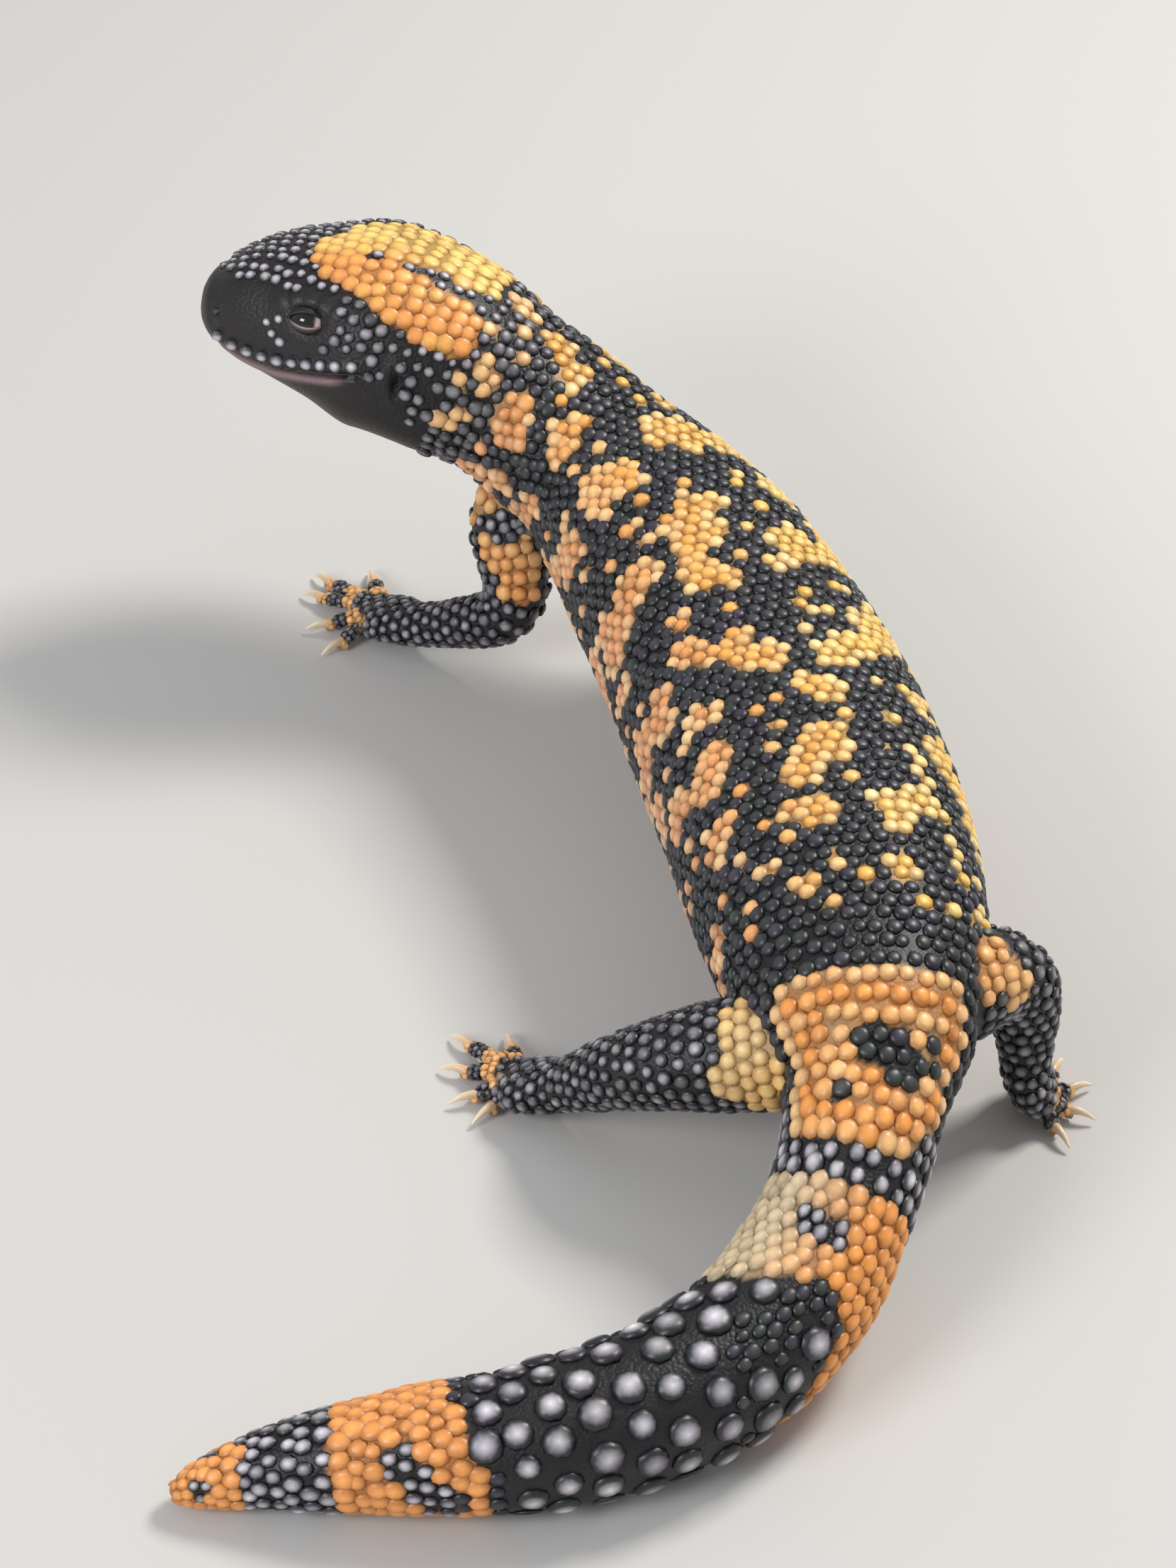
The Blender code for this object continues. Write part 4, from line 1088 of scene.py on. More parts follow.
def bead_mesh(name, beads, seed):
    """Every bead of a region as one mesh.

    A point is root + ahead * x * length + across * y * width + normal * z * height. The colour goes from rim
    to crown by the template's shade to the power of the bead's fade: painted shade at the foot, a painted
    highlight on the top.
    """
    template, shade, quads, fan, base = bead_template()
    random = np.random.default_rng(seed)
    number, size = len(beads["root"]), len(template)
    settings = bpy.context.scene.lizard
    wobble = (1 + random.normal(0, BEAD_WOBBLE, (number, size))) * settings.bead_width
    parts = ((beads["ahead"], template[None, :, 0] * wobble * beads["long"][:, None]),
             (beads["across"], template[None, :, 1] * wobble * beads["wide"][:, None]),
             (beads["normal"], template[None, :, 2] * beads["tall"][:, None] * settings.bead_height))
    points = beads["root"][:, None]
    for heading, offset in parts:
        points = points + heading[:, None] * offset[..., None]
    points = points.reshape(-1, 3)
    points[:, 2] = np.maximum(points[:, 2], LOWEST)
    start = (np.arange(number) * size)[:, None, None]
    all_faces = []
    for group in (quads, fan, base):
        all_faces.extend((np.array(group)[None] + start).reshape(-1, len(group[0])).tolist())
    mesh = bpy.data.meshes.new(name)
    mesh.from_pydata(points, [], all_faces)
    # Rim to crown: painted shade at each bead's foot, a painted highlight on its top.
    shade = (shade[None] ** beads["fade"][:, None])[..., None]
    paint(mesh, mix(beads["rim"][:, None], beads["crown"][:, None], shade).reshape(-1, 3))
    layer = mesh.uv_layers.new(name="OFBake")
    corners = np.empty(len(mesh.loops), np.int32)
    mesh.loops.foreach_get("vertex_index", corners)
    patch = beads["spread"][:, None] + template[None, :, :2] * PATCH_HALF
    layer.data.foreach_set("uv", patch.reshape(-1, 2)[corners].astype(np.float32).ravel())
    mesh.shade_smooth()
    return linked(name, mesh)


def gather(parts):
    """Join lists of bead arrays into one set."""
    return {key: np.concatenate([part[key] for part in parts]) for key in parts[0]}


def pick(beads, keep):
    """The beads that a test keeps."""
    return {key: value[keep] for key, value in beads.items()}


HIDE_TRUST = 0.8
BEAD_REACH = 0.0024
TOE_BEAD_REACH = 0.0018
SCALE_REACH = 0.004


def drop_to_hide(beads, tree, reach=BEAD_REACH):
    """Move each bead's root to the nearest point of the hide and leave out those that lie too far from it.

    The hide's own direction counts where it is like the bead's, with a cosine over the trusted one.
    """
    found = [tree.find_nearest(Vector(root)) for root in beads["root"]]
    away = np.array([hit[3] for hit in found])
    spot = np.array([hit[0] for hit in found])
    normal = np.array([hit[1] for hit in found])
    like = (normal * beads["normal"]).sum(axis=1) > HIDE_TRUST
    normal = directions(np.where(like[:, None], normal + beads["normal"] * 0.5, beads["normal"]))
    across = directions(np.cross(normal, beads["ahead"]))
    beads = dict(beads, root=spot, normal=normal, across=across, ahead=np.cross(across, normal))
    return pick(beads, away < reach)


# Casts of the dark beads, a painted sheen: faint green, blue and violet, one drawn at random for each bead.
CASTS = np.array([srgb(24, 30, 32), srgb(24, 32, 28), srgb(32, 27, 42), srgb(22, 25, 34), srgb(28, 27, 30)])


def dark_shades(number, random):
    """Rim and crown colours of dark beads: near black with a faint green, blue or violet cast, a painted
    sheen, and the crown lighter than the rim, a painted highlight.
    """
    rim = CASTS[random.integers(0, len(CASTS), number)] * random.uniform(0.45, 0.9, (number, 1))
    # The crown 1.2 to 2.4 times the rim: a painted highlight.
    return rim, rim * random.uniform(1.2, 2.4, (number, 1)) + 0.002


ROW_STEP = 0.84
BEAD_STRAY = 0.085


def body_beads(start, end, pitch_at, random):
    """Beads of one stretch of the body in rows across it, alternate rows half a bead on."""
    place = start
    places = []
    while place < end:
        places.append(place)
        place += np.interp(place, *pitch_at) * ROW_STEP
    places = np.array(places)
    round_it = superellipse_turns(places)[2][:, -1]
    pitch = np.interp(places, *pitch_at)
    counts = np.maximum(6, np.round(round_it / pitch)).astype(int)
    shares = [(np.arange(count) + 0.5 * (row % 2) + random.normal(0, BEAD_STRAY, count)) / count
              for row, count in enumerate(counts)]
    points, normals, arcs = body_rings(places, shares)
    row_place, row_pitch, row_round = (np.repeat(values, counts) for values in (places, pitch, round_it))
    forward = np.repeat(spine_frame(places)[1], counts, axis=0)
    shift = random.normal(0, BEAD_STRAY, len(row_place)) * row_pitch
    arc = np.concatenate(arcs)
    return dict(root=np.concatenate(points) + forward * shift[:, None], normal=np.concatenate(normals),
                ahead=forward, across=forward * 0, place=row_place + shift, arc=arc, pitch=row_pitch,
                around=arc / row_round)


# Half width and height of a bead as shares of its pitch, for marked and dark ones
WIDE_SHARES = (0.53, 0.49)
TALL_SHARES = (0.27, 0.25)
SIZE_STRAY = 0.08
TONE_STRAY = 0.07
# Painted highlight on the dark beads: range of the pale crowns' strength, and the share of slate at their
# rims
PALE_RANGE = (0.55, 1.0)
RIM_SLATE = 0.08
# Painted shade and highlight on the marked beads: tone and brown at the rim, lift of the tone at the crown
MARKED_RIM = (0.58, 0.13)
MARKED_CROWN = 1.08


def finish_beads(beads, tone, mark, pale, random, spread, lengthen=1.0):
    """Give beads sizes and colours: marked ones their marking's tone, darker at the rim as painted shade and
    lighter at the crown as a painted highlight; dark ones a pale crown, a painted highlight, or none.
    """
    number = len(beads["root"])
    rim, crown = dark_shades(number, random)
    # Painted highlight: the dark beads' crowns go pale and their rims a little slate.
    painted_highlight = np.minimum(random.uniform(*PALE_RANGE, (number, 1)) * pale[:, None], 1.0)
    crown = mix(crown, PALETTE["pale"], painted_highlight)
    rim = mix(rim, PALETTE["slate"], painted_highlight * RIM_SLATE)
    vary = 1 + random.normal(0, TONE_STRAY, (number, 1))
    # Marked beads: a darker rim, painted shade at the foot, and a lighter crown, a painted highlight.
    marked_rim = painted_shade(tone, MARKED_RIM) * vary
    marked = mark > 0.5
    on = marked[:, None]
    size = 1 + random.normal(0, SIZE_STRAY, number)
    wide = beads["pitch"] * np.where(marked, *WIDE_SHARES) * size
    made = {key: beads[key] for key in ("root", "normal", "ahead", "across")}
    made.update(long=wide * lengthen, wide=wide, tall=beads["pitch"] * np.where(marked, *TALL_SHARES) * size,
                rim=np.where(on, marked_rim, rim),
                crown=np.where(on, fraction(tone * vary * MARKED_CROWN), crown),
                fade=np.ones(number), spread=spread)
    return made


# Places along the body and the distance between beads at each
PITCHES = ((-0.181, -0.165, -0.150, -0.145, -0.056, -0.037, -0.030, -0.022, 0.030, 0.160, 0.200, 0.225, 0.262,
            0.2775),
           (0.0022, 0.0034, 0.0042, 0.0036, 0.0036, 0.0038, 0.0046, 0.0040, 0.0035, 0.0035, 0.0036, 0.0036,
            0.0034, 0.0027))
# Places and pitches of the tail band's large beads, whose painted highlights show as pale spots
SPOT_PITCHES = ((-0.1260, -0.1120, -0.0900, -0.0500), (0.0066, 0.0078, 0.0084, 0.0074))
SPOT_MIN = 0.0050
# Power of the rim-to-crown blend of the large tail beads: a painted highlight that fades to a dark rim
SPOT_FADE = 1.6
SPOT_FLATNESS = 0.74
# Room of a large bead as shares of its pitch: from coloured skin, to the next large bead, to a small one, and
# the small one's own
SPOT_ROOM = (0.30, 0.78, 0.42, 0.40)
FLOOR_CLEAR = 0.0005


def spaced(touch, loose):
    """Which beads stay when each loose one that touches a kept loose one before it is left out."""
    keep = np.ones(len(touch), bool)
    for number in np.nonzero(loose)[0]:
        keep[number] = not (touch[number, :number] & keep[:number] & loose[:number]).any()
    return keep


def distances(first, second):
    """Distance between every pair of roots."""
    return np.linalg.norm(first["root"][:, None] - second["root"][None], axis=-1)


def band_of_large_beads(beads, random):
    """The tail's broad dark band laid again with large round beads, small ones only in the room between."""
    large = body_beads(SPOT_PITCHES[0][0], SPOT_PITCHES[0][-1], SPOT_PITCHES, random)
    free = large["place"] < SPOT_PITCHES[0][-1]
    reach = large["pitch"] * SPOT_ROOM[0]
    for turn in np.arange(8) / 8 * 2 * np.pi:
        place, arc = large["place"] + reach * math.cos(turn), large["arc"] + reach * math.sin(turn)
        free &= body_marks(place, arc)[1] < 0.5
    large = pick(large, free)
    touch = distances(large, large) < large["pitch"][None] * SPOT_ROOM[1]
    large = pick(large, spaced(touch, np.ones(len(touch), bool)))
    gap = distances(beads, large) - large["pitch"][None] * SPOT_ROOM[2]
    return gather([pick(beads, gap.min(axis=1) > beads["pitch"] * SPOT_ROOM[3]), large])


LIMB_CLEAR = 0.0002


def clear_of_limbs(beads, other_names, gap):
    """True for beads whose roots are outside the named limb tubes."""
    keep = np.ones(len(beads["root"]), bool)
    for name in other_names:
        keep &= tube_coordinates(beads["root"], TUBES[name])[2] > gap
    return keep


def limb_free(beads):
    """The beads that no leg covers."""
    return pick(beads, clear_of_limbs(beads, list(LEGS), LIMB_CLEAR))


def lay_body_beads(tree, seed):
    """Beads from the tail's tip to the snout in one run of rows, as one piece for each region."""
    random = np.random.default_rng(seed)
    beads = limb_free(body_beads(TAIL_TIP + 0.0015, SNOUT - 0.0020, PITCHES, random))
    beads = band_of_large_beads(beads, random)
    made = []
    for number, (name, start, end) in enumerate(BODY_PIECES):
        region = pick(beads, (beads["place"] >= start) & (beads["place"] < end))
        spread = np.stack([(region["place"] - start) / (end - start) * 0.97 + 0.015,
                           region["around"] * 0.96 + 0.5], -1)
        lay = head_beads if name == "beads_head" else trunk_beads
        made.append(bead_mesh(name, lay(region, spread, tree, random), seed + number + 1))
    return made


BODY_PIECES = (("beads_tail", -0.2, -0.0245), ("beads_trunk_rear", -0.0245, 0.0900),
               ("beads_trunk_front", 0.0900, 0.2125), ("beads_head", 0.2125, 0.3))


def trunk_beads(beads, spread, tree, random):
    """Beads of a stretch of tail, trunk or neck, low and broad under the belly; the dark ones with pale
    crowns, a painted highlight, strongest on the tail.
    """
    place, arc = beads["place"], beads["arc"]
    tone, mark = body_marks(place, arc)
    tail = ramp(place, -0.016, -0.004)
    neck = ramp(place, 0.195, 0.02)
    # Painted highlight: pale crowns on the dark beads, most on the tail, less on the neck, faint elsewhere.
    pale = fraction(tail * 1.05 + neck * 0.55) * random.uniform(0.6, 1.0, len(place)) + 0.06
    large = beads["pitch"] > SPOT_MIN
    in_band = (place > SPOT_PITCHES[0][0]) & (place < SPOT_PITCHES[0][-1])
    pale = np.where(in_band & ~large, 0.05, pale)
    made = finish_beads(beads, tone, mark, pale, random, spread, 1 + 0.20 * tail * ~large)
    belly = ramp(np.abs(beads["around"]), 0.32, 0.06)
    made["tall"] = made["tall"] * (1 - 0.62 * belly) * np.where(large & (tail > 0.5), SPOT_FLATNESS, 1.0)
    made["wide"] = made["wide"] * (1 + 0.08 * belly) * np.where(mark < 0.5, 1 - 0.16 * tail, 1.0)
    made["long"] = made["long"] * np.where(mark < 0.5, 1 - 0.12 * tail, 1.0)
    # On the tail the dark beads' crowns are lit further, the large ones most, and the large ones fade to a
    # dark rim: painted highlight.
    made["crown"] = fraction(made["crown"] * (1 + (0.35 + 0.30 * large) * tail * (mark < 0.5))[:, None])
    made["fade"] = np.where(large & (tail > 0.5), SPOT_FADE, 1.0)
    return drop_to_hide(pick(made, made["root"][:, 2] > FLOOR_CLEAR), tree)


# Where the head has no beads, by distances back, round from the middle, and up
MOUTH_BARE = (-0.0032, 0.0044)
MOUTH_BARE_PAST = 0.0015
EYE_CLEAR = 0.0052
OPENINGS = ((NOSTRIL_BACK, NOSTRIL_UP, 0.0024), (EAR_BACK, EAR_UP, 0.0028))
BROW_LINE = ((0.0, 0.004, 0.008, 0.0155, 0.0255, 0.037, 0.0475),
             (0.0002, 0.0035, 0.0089, 0.0154, 0.0212, 0.0250, 0.0281))
FACE_REAR = ((0.0, 0.0085), (0.0300, 0.0345))
THROAT_REAR = ((0.040, 0.052), (0.050, 0.062))
CROWN_MIDDLE = 0.0008
TEMPLE = (0.030, 0.052)


def bare_face(root, back, level, upward, out, brow):
    """True where the head has no beads: round mouth, eyes, nostrils and ears, and on the face and throat."""
    bare = (level > MOUTH_BARE[0]) & (level < MOUTH_BARE[1]) & (back < MOUTH_BACK + MOUTH_BARE_PAST)
    for side in (1, -1):
        bare |= eye_gap(root, side) <= EYE_CLEAR
        for opening_back, opening_up, gap in OPENINGS:
            opening = head_point(opening_back, opening_up, side)[0][0]
            bare |= np.linalg.norm(root - opening, axis=1) <= gap
    bare |= (out > brow) & (level > 0) & (back < np.interp(upward, *FACE_REAR))
    return bare | ((level < 0) & (back < np.interp(out, *THROAT_REAR)))


def head_beads(beads, spread, tree, random):
    """Beads of the head: pale crowns on the dark ones, a painted highlight, white on the snout and grey on
    the cheeks; lumpy on the crown, none on the face.
    """
    place, arc = beads["place"], beads["arc"]
    number = len(place)
    back = SNOUT - place
    upward = body_coordinates(beads["root"])[4]
    level = upward - mouth_up(back)
    out = np.abs(arc - CROWN_MIDDLE)
    brow = np.interp(back, *BROW_LINE)
    keep = ~bare_face(beads["root"], back, level, upward, out, brow)
    temple = (np.abs(out - brow - 0.0006) < 0.0013) & (back > TEMPLE[0]) & (back < TEMPLE[1])
    tone, mark = body_marks(place, arc)
    marked, on_top = mark > 0.5, out < brow
    # Painted highlight: pale crowns, whitest on top of the snout, dimmer on the cheeks, at the temples and
    # toward the back of the head.
    pale = np.where(on_top, random.uniform(1.2, 1.5, number), random.uniform(0.50, 1.0, number))
    pale = pale * np.where(temple, 0.25, 1.0) * np.clip(1.0 - (back - 0.055) / 0.02, 0.35, 1)
    made = finish_beads(beads, tone, mark, pale, random, spread)
    grey = np.where(on_top, random.uniform(0.64, 0.86, number), random.uniform(0.80, 0.98, number))
    made["wide"] = made["wide"] * np.where(marked, random.uniform(0.98, 1.25, number), grey)
    made["long"] = made["wide"] * np.where(marked, 1.05, random.uniform(0.95, 1.20, number))
    made["tall"] = made["tall"] * np.where(marked, 0.72, 0.85)
    made["loose"] = ~marked
    made = drop_to_hide(pick(made, keep), tree)
    extra = drop_to_hide(gather([lip_beads(random), dot_beads(random)]), tree, SCALE_REACH)
    loose = np.concatenate([np.ones(len(extra["root"]), bool), made.pop("loose")])
    return thin(gather([extra, made]), loose)


def thin(beads, loose):
    """Leave out each loose bead that would touch a loose one before it."""
    reach = (beads["wide"][:, None] + beads["wide"][None]) * 0.90
    return pick(beads, spaced(distances(beads, beads) < reach, loose))


DOT_BACKS = (0.0175, 0.0205, 0.0190, 0.0213)
DOT_UPS = (0.0038, 0.0054, 0.0016, 0.0003)
LIP_PITCH = 0.0039


def white_scales(back, upward, side, radius, height, dim, around):
    """White scales on the head at distances back and up, each a little longer than wide, slate at the rim and
    white at the crown: partly pale scales, partly a painted highlight.
    """
    point, normal, ahead = head_point(back, upward, side)
    each = np.ones((len(back), 1))
    # The slate rim and the whiter crown: a painted highlight on the pale scales.
    return dict(root=point, normal=normal, ahead=ahead, across=ahead * 0, long=radius * 1.1, wide=radius,
                tall=radius * height, rim=PALETTE["slate"] * dim * each,
                crown=fraction(PALETTE["pale"] * 1.15 * each), fade=each[:, 0],
                spread=np.stack([0.985 - back / 0.070, around], -1))


def dot_beads(random):
    """Four white beads ahead of each eye."""
    back, upward = np.array(DOT_BACKS), np.array(DOT_UPS)
    return gather([white_scales(back, upward, side, random.uniform(0.00105, 0.0014, len(back)), 0.55, 1.0,
                                0.5 + side * (0.30 - upward * 5)) for side in (1, -1)])


def lip_beads(random):
    """A row of larger white scales along the upper lip, on both sides."""
    back = np.arange(0.0055, MOUTH_BACK - 0.0004, LIP_PITCH)
    level = mouth_up(back) + 0.0023
    return gather([white_scales(back, level, side, random.uniform(0.00130, 0.00165, len(back)), 0.6, 0.8,
                                np.full(len(back), 0.5 + side * 0.27)) for side in (1, -1)])


LEG_ROW_STEP = 0.86
LEG_STRAY = 0.05


def tube_beads(tube, start, end, pitch_start, pitch_end, random):
    """Beads round a limb tube in rows between two shares of its length, alternate rows half a bead on."""
    rows = []
    share = start
    while share < end:
        pitch = pitch_start + (pitch_end - pitch_start) * ((share - start) / (end - start))
        rows.append((share, pitch))
        share += pitch * LEG_ROW_STEP / tube["length"]
    made = []
    for row, (share, pitch) in enumerate(rows):
        centre, along, side, top = (np.array([np.interp(share, tube["share"], axis) for axis in tube[key].T])
                                    for key in ("points", "along", "side", "top"))
        width, tall = (np.interp(share, tube["share"], tube[key]) for key in ("width", "tall"))
        count = max(6, round(2 * math.pi * math.sqrt((width**2 + tall**2) / 2) / pitch))
        turn = (np.arange(count) + 0.5 * (row % 2) + random.normal(0, LEG_STRAY, count)) / count * 2 * np.pi
        out = side * (np.sin(turn) * width)[:, None] + top * (np.cos(turn) * tall)[:, None]
        normal = side * (np.sin(turn) / width)[:, None] + top * (np.cos(turn) / tall)[:, None]
        ahead = np.tile(along, (count, 1))
        made.append(dict(root=centre + out, normal=directions(normal), ahead=ahead, across=ahead * 0,
                         place=np.full(count, share), arc=turn, pitch=np.full(count, pitch),
                         around=turn / (2 * np.pi)))
    return gather(made)


# First and last share of the length with beads, and the distance between beads at both
LEG_ROWS = (0.02, 0.985, 0.0039, 0.0031)
TOE_ROWS = (0.12, 0.97, 0.0021, 0.0016)
BODY_CLEAR = 0.0003
TOE_CLEAR = 0.0001


def lay_leg_beads(name, tree, seed):
    """Beads of one leg and its toes, with pale crowns, a painted highlight, orange in its patches and in the
    toes' bands.
    """
    random = np.random.default_rng(seed)
    tube = TUBES[name]
    toes = [f"{name}_toe_{number}" for number in range(1, 6)]
    beads = tube_beads(tube, *LEG_ROWS, random)
    outside = body_coordinates(beads["root"])[2] > BODY_CLEAR
    beads = pick(beads, outside & clear_of_limbs(beads, toes, LIMB_CLEAR))
    turn = np.angle(np.exp(1j * beads["arc"]))
    tone, mark = leg_marks(name, beads["place"], turn, tube["width"].mean(), tube["length"])
    # Painted highlight on the leg's dark beads.
    pale = random.uniform(0.35, 0.85, len(mark))
    spread = np.stack([beads["place"] * 0.5 + 0.01, beads["around"] * 0.96 + 0.02], -1)
    parts = [finish_beads(beads, tone, mark, pale, random, spread)]
    for key, share in (("wide", 0.88), ("long", 0.94)):
        parts[0][key] = parts[0][key] * np.where(mark > 0.5, 1.0, share)
    for number, toe in enumerate(toes):
        beads = tube_beads(TUBES[toe], *TOE_ROWS, random)
        beads = pick(beads, tube_coordinates(beads["root"], tube)[2] > TOE_CLEAR)
        beads = pick(beads, clear_of_limbs(beads, [other for other in toes if other != toe], LIMB_CLEAR))
        tone, mark = toe_marks(beads["place"])
        # Painted highlight on the toes' dark beads.
        pale = random.uniform(0.2, 0.6, len(mark))
        column = 0.56 + number * 0.085 + beads["place"] * 0.075
        spread = np.stack([column, beads["around"] * 0.96 + 0.02], -1)
        parts.append(finish_beads(beads, tone, mark, pale, random, spread))
    beads = gather(parts)
    height, facing = beads["root"][:, 2], beads["normal"][:, 2]
    sole = (height < 0.0014) | ((facing < -0.55) & (height < 0.004))
    return bead_mesh("beads_" + name, drop_to_hide(pick(beads, ~sole), tree, TOE_BEAD_REACH), seed + 1)


def round_piece(name, grid, joined=False):
    """A smooth closed piece from a grid of rings, its ends fanned or its last ring joined to the first."""
    points, faces = closed_grid(grid)
    if joined:
        rows, around = grid.shape[:2]
        wrapped = np.concatenate([np.arange(rows * around), np.arange(around)])
        points, faces = grid.reshape(-1, 3), wrapped[grid_faces(rows + 1, around)].tolist()
    return new_object(name, points, faces)


EYE_RINGS = 26
EYE_AROUND = 40


def make_eye(side, word):
    """An eyeball: rings of a sphere drawn out into an almond, about the line that looks out of its socket."""
    normal, along, over, centre = eye_frame(side)
    tilt = np.linspace(0.02, math.pi - 0.02, EYE_RINGS)[:, None]
    turn = np.arange(EYE_AROUND) / EYE_AROUND * 2 * np.pi
    ring = along * (np.cos(turn) * (EYE_LONG - 0.02))[:, None] + over * (np.sin(turn) * EYE_TALL)[:, None]
    bulge = normal * np.cos(tilt)[..., None] + ring[None] * np.sin(tilt)[..., None]
    eye = round_piece("eyeball_" + word, centre + EYE_RADIUS * bulge)
    wide, aft = (np.append(np.sin(tilt) * share, (0, 0)) for share in (np.ones(EYE_AROUND), -np.cos(turn)))
    iris = ramp(wide, 0.42, 0.06)[:, None]
    white = ramp(aft, 0.46, 0.10)[:, None]
    paint(eye.data, mix(mix(PALETTE["pupil"], PALETTE["iris"], iris), PALETTE["eye_white"], white))
    return eye


def eye_frame(side):
    """Directions out of, along and up the eye, and its centre."""
    centre, normal, ahead = (value[0] for value in head_point(EYE_BACK, EYE_UP, side, -EYE_SINK))
    over = np.cross(ahead, normal)
    over *= np.sign(over[2])
    over /= np.linalg.norm(over)
    along = np.cross(normal, over)
    return normal, along * np.sign(along @ ahead), over, centre


# Each ring of the lids: share of the way out from the opening, height off the eye and how light its rim is
LID_PROFILE = ((0.0, 0.00002, 0.9), (0.0, 0.00030, 0.9), (0.14, 0.00050, 0.15), (0.45, 0.00052, 0),
               (0.75, 0.00030, 0), (1.0, -0.0002, 0), (1.0, -0.0010, 0), (0.4, -0.0006, 0))
LID_REACH = 1.46
LID_AROUND = 64
OPEN_LONG = 0.00305
OPEN_TOP = 0.00150
OPEN_UNDER = 0.00165


def make_lids(side, word):
    """Both lids as one closed ring round an almond opening, on a sphere a little larger than the eye."""
    normal, along, over, centre = eye_frame(side)
    turn = np.arange(LID_AROUND) / LID_AROUND * 2 * np.pi
    open_long = np.cos(turn) * OPEN_LONG
    half_open = np.where(np.sin(turn) > 0, OPEN_TOP, OPEN_UNDER)
    open_tall = np.sin(turn) * half_open * (1 - 0.30 * np.cos(turn) ** 2)
    inner = np.arcsin(np.hypot(open_long, open_tall) / EYE_RADIUS)
    heading = np.arctan2(open_tall, open_long)
    ring = along * (np.cos(heading) * EYE_LONG)[:, None] + over * (np.sin(heading) * EYE_TALL)[:, None]
    rows = []
    for share, lift, _ in LID_PROFILE:
        tilt = (inner + (LID_REACH - inner) * share)[:, None]
        rows.append(centre + (EYE_RADIUS + lift) * (normal * np.cos(tilt) + ring * np.sin(tilt)))
    lids = round_piece("lids_" + word, np.array(rows), True)
    rim = np.array([light for _, _, light in LID_PROFILE])[:, None]
    lower = fraction(-np.sin(turn) * 1.4 - 0.2)[None, :]
    corner = fraction(-np.cos(turn) * 3 - 2.0)[None, :] * (np.sin(turn) < 0.1)
    light = (rim * np.maximum(lower * 0.60, corner))[..., None]
    # The lids' black is taken down to 0.8: painted shade of the brow over the eye.
    paint(lids.data, mix(PALETTE["black"] * 0.8, PALETTE["lid_edge"], light).reshape(-1, 3))
    return lids


CLAW_RINGS = 14
CLAW_AROUND = 14
CLAW_BURIED = 0.0012
CLAW_TIP_RADIUS = 0.00018


def make_claw(toe_name, name):
    """A curved claw on an arc down to the floor: its rings narrow by the power 0.8 of the way left."""
    tube = TUBES[toe_name]
    end, along = tube["points"][-1], tube["along"][-1]
    share = np.linspace(0, 1, CLAW_RINGS)
    reach = share * (CLAW_LENGTH + GAP + CLAW_BURIED)
    points = end - along * CLAW_BURIED + tube["unit"] * reach[:, None]
    points[:, 2] += 0.0005 * (1 - share) + 0.0007 * np.sin(math.pi * share) - 0.0007 * share**2
    radius = CLAW_TIP_RADIUS + (CLAW_RADIUS - CLAW_TIP_RADIUS) * (1 - share) ** 0.8
    frames = carried_frames(points, np.cross((0, 0, 1.0), tube["unit"]))
    claw = dict(points=points, side=frames[1], top=frames[2], width=radius * 0.85, tall=radius)
    grid = tube_rings(claw, CLAW_AROUND, 0.0)
    grid[..., 2] = np.maximum(grid[..., 2], LOWEST)
    made = round_piece(name, grid)
    tone = np.concatenate([np.repeat(share, CLAW_AROUND), [0.0, 1.0]])[:, None]
    paint(made.data, mix(PALETTE["claw_root"], PALETTE["claw_tip"], tone))
    return made


def plain_finish(name):
    """A new Principled finish, its node tree and its surface node."""
    made = bpy.data.materials.new(name)
    made.use_nodes = True
    return made, made.node_tree, made.node_tree.nodes["Principled BSDF"]


def shader(name, roughness, coat, grain, grain_depth, mottle):
    """A Principled finish coloured by the tint attribute, with fine noise in colour and height."""
    made, tree, surface = plain_finish(name)
    surface.inputs["Roughness"].default_value = roughness
    surface.inputs["Coat Weight"].default_value = coat
    surface.inputs["Coat Roughness"].default_value = 0.25
    tint = tree.nodes.new("ShaderNodeAttribute")
    tint.attribute_name = "tint"
    place = tree.nodes.new("ShaderNodeTexCoord")
    fine = tree.nodes.new("ShaderNodeTexNoise")
    fine.inputs["Scale"].default_value = grain
    fine.inputs["Detail"].default_value = 3.0
    tree.links.new(place.outputs["Object"], fine.inputs["Vector"])
    spread = tree.nodes.new("ShaderNodeMapRange")
    spread.inputs["To Min"].default_value = 1.0 - mottle
    spread.inputs["To Max"].default_value = 1.0 + mottle
    tree.links.new(fine.outputs["Fac"], spread.inputs["Value"])
    mixed = tree.nodes.new("ShaderNodeVectorMath")
    mixed.operation = "MULTIPLY"
    tree.links.new(tint.outputs["Color"], mixed.inputs[0])
    tree.links.new(spread.outputs["Result"], mixed.inputs[1])
    tree.links.new(mixed.outputs["Vector"], surface.inputs["Base Color"])
    bump = tree.nodes.new("ShaderNodeBump")
    bump.inputs["Strength"].default_value = 0.35
    bump.inputs["Distance"].default_value = grain_depth
    tree.links.new(fine.outputs["Fac"], bump.inputs["Height"])
    tree.links.new(bump.outputs["Normal"], surface.inputs["Normal"])
    if name == "hide_skin":
        granules(tree, place, bump)
    return made


def granules(tree, place, bump):
    """Fine scales between the beads: the height falls with distance from the middle of each cell."""
    cells = tree.nodes.new("ShaderNodeTexVoronoi")
    cells.inputs["Scale"].default_value = 1100.0
    tree.links.new(place.outputs["Object"], cells.inputs["Vector"])
    low = tree.nodes.new("ShaderNodeBump")
    low.invert = True
    low.inputs["Strength"].default_value = 0.5
    low.inputs["Distance"].default_value = 0.0003
    tree.links.new(cells.outputs["Distance"], low.inputs["Height"])
    tree.links.new(low.outputs["Normal"], bump.inputs["Normal"])


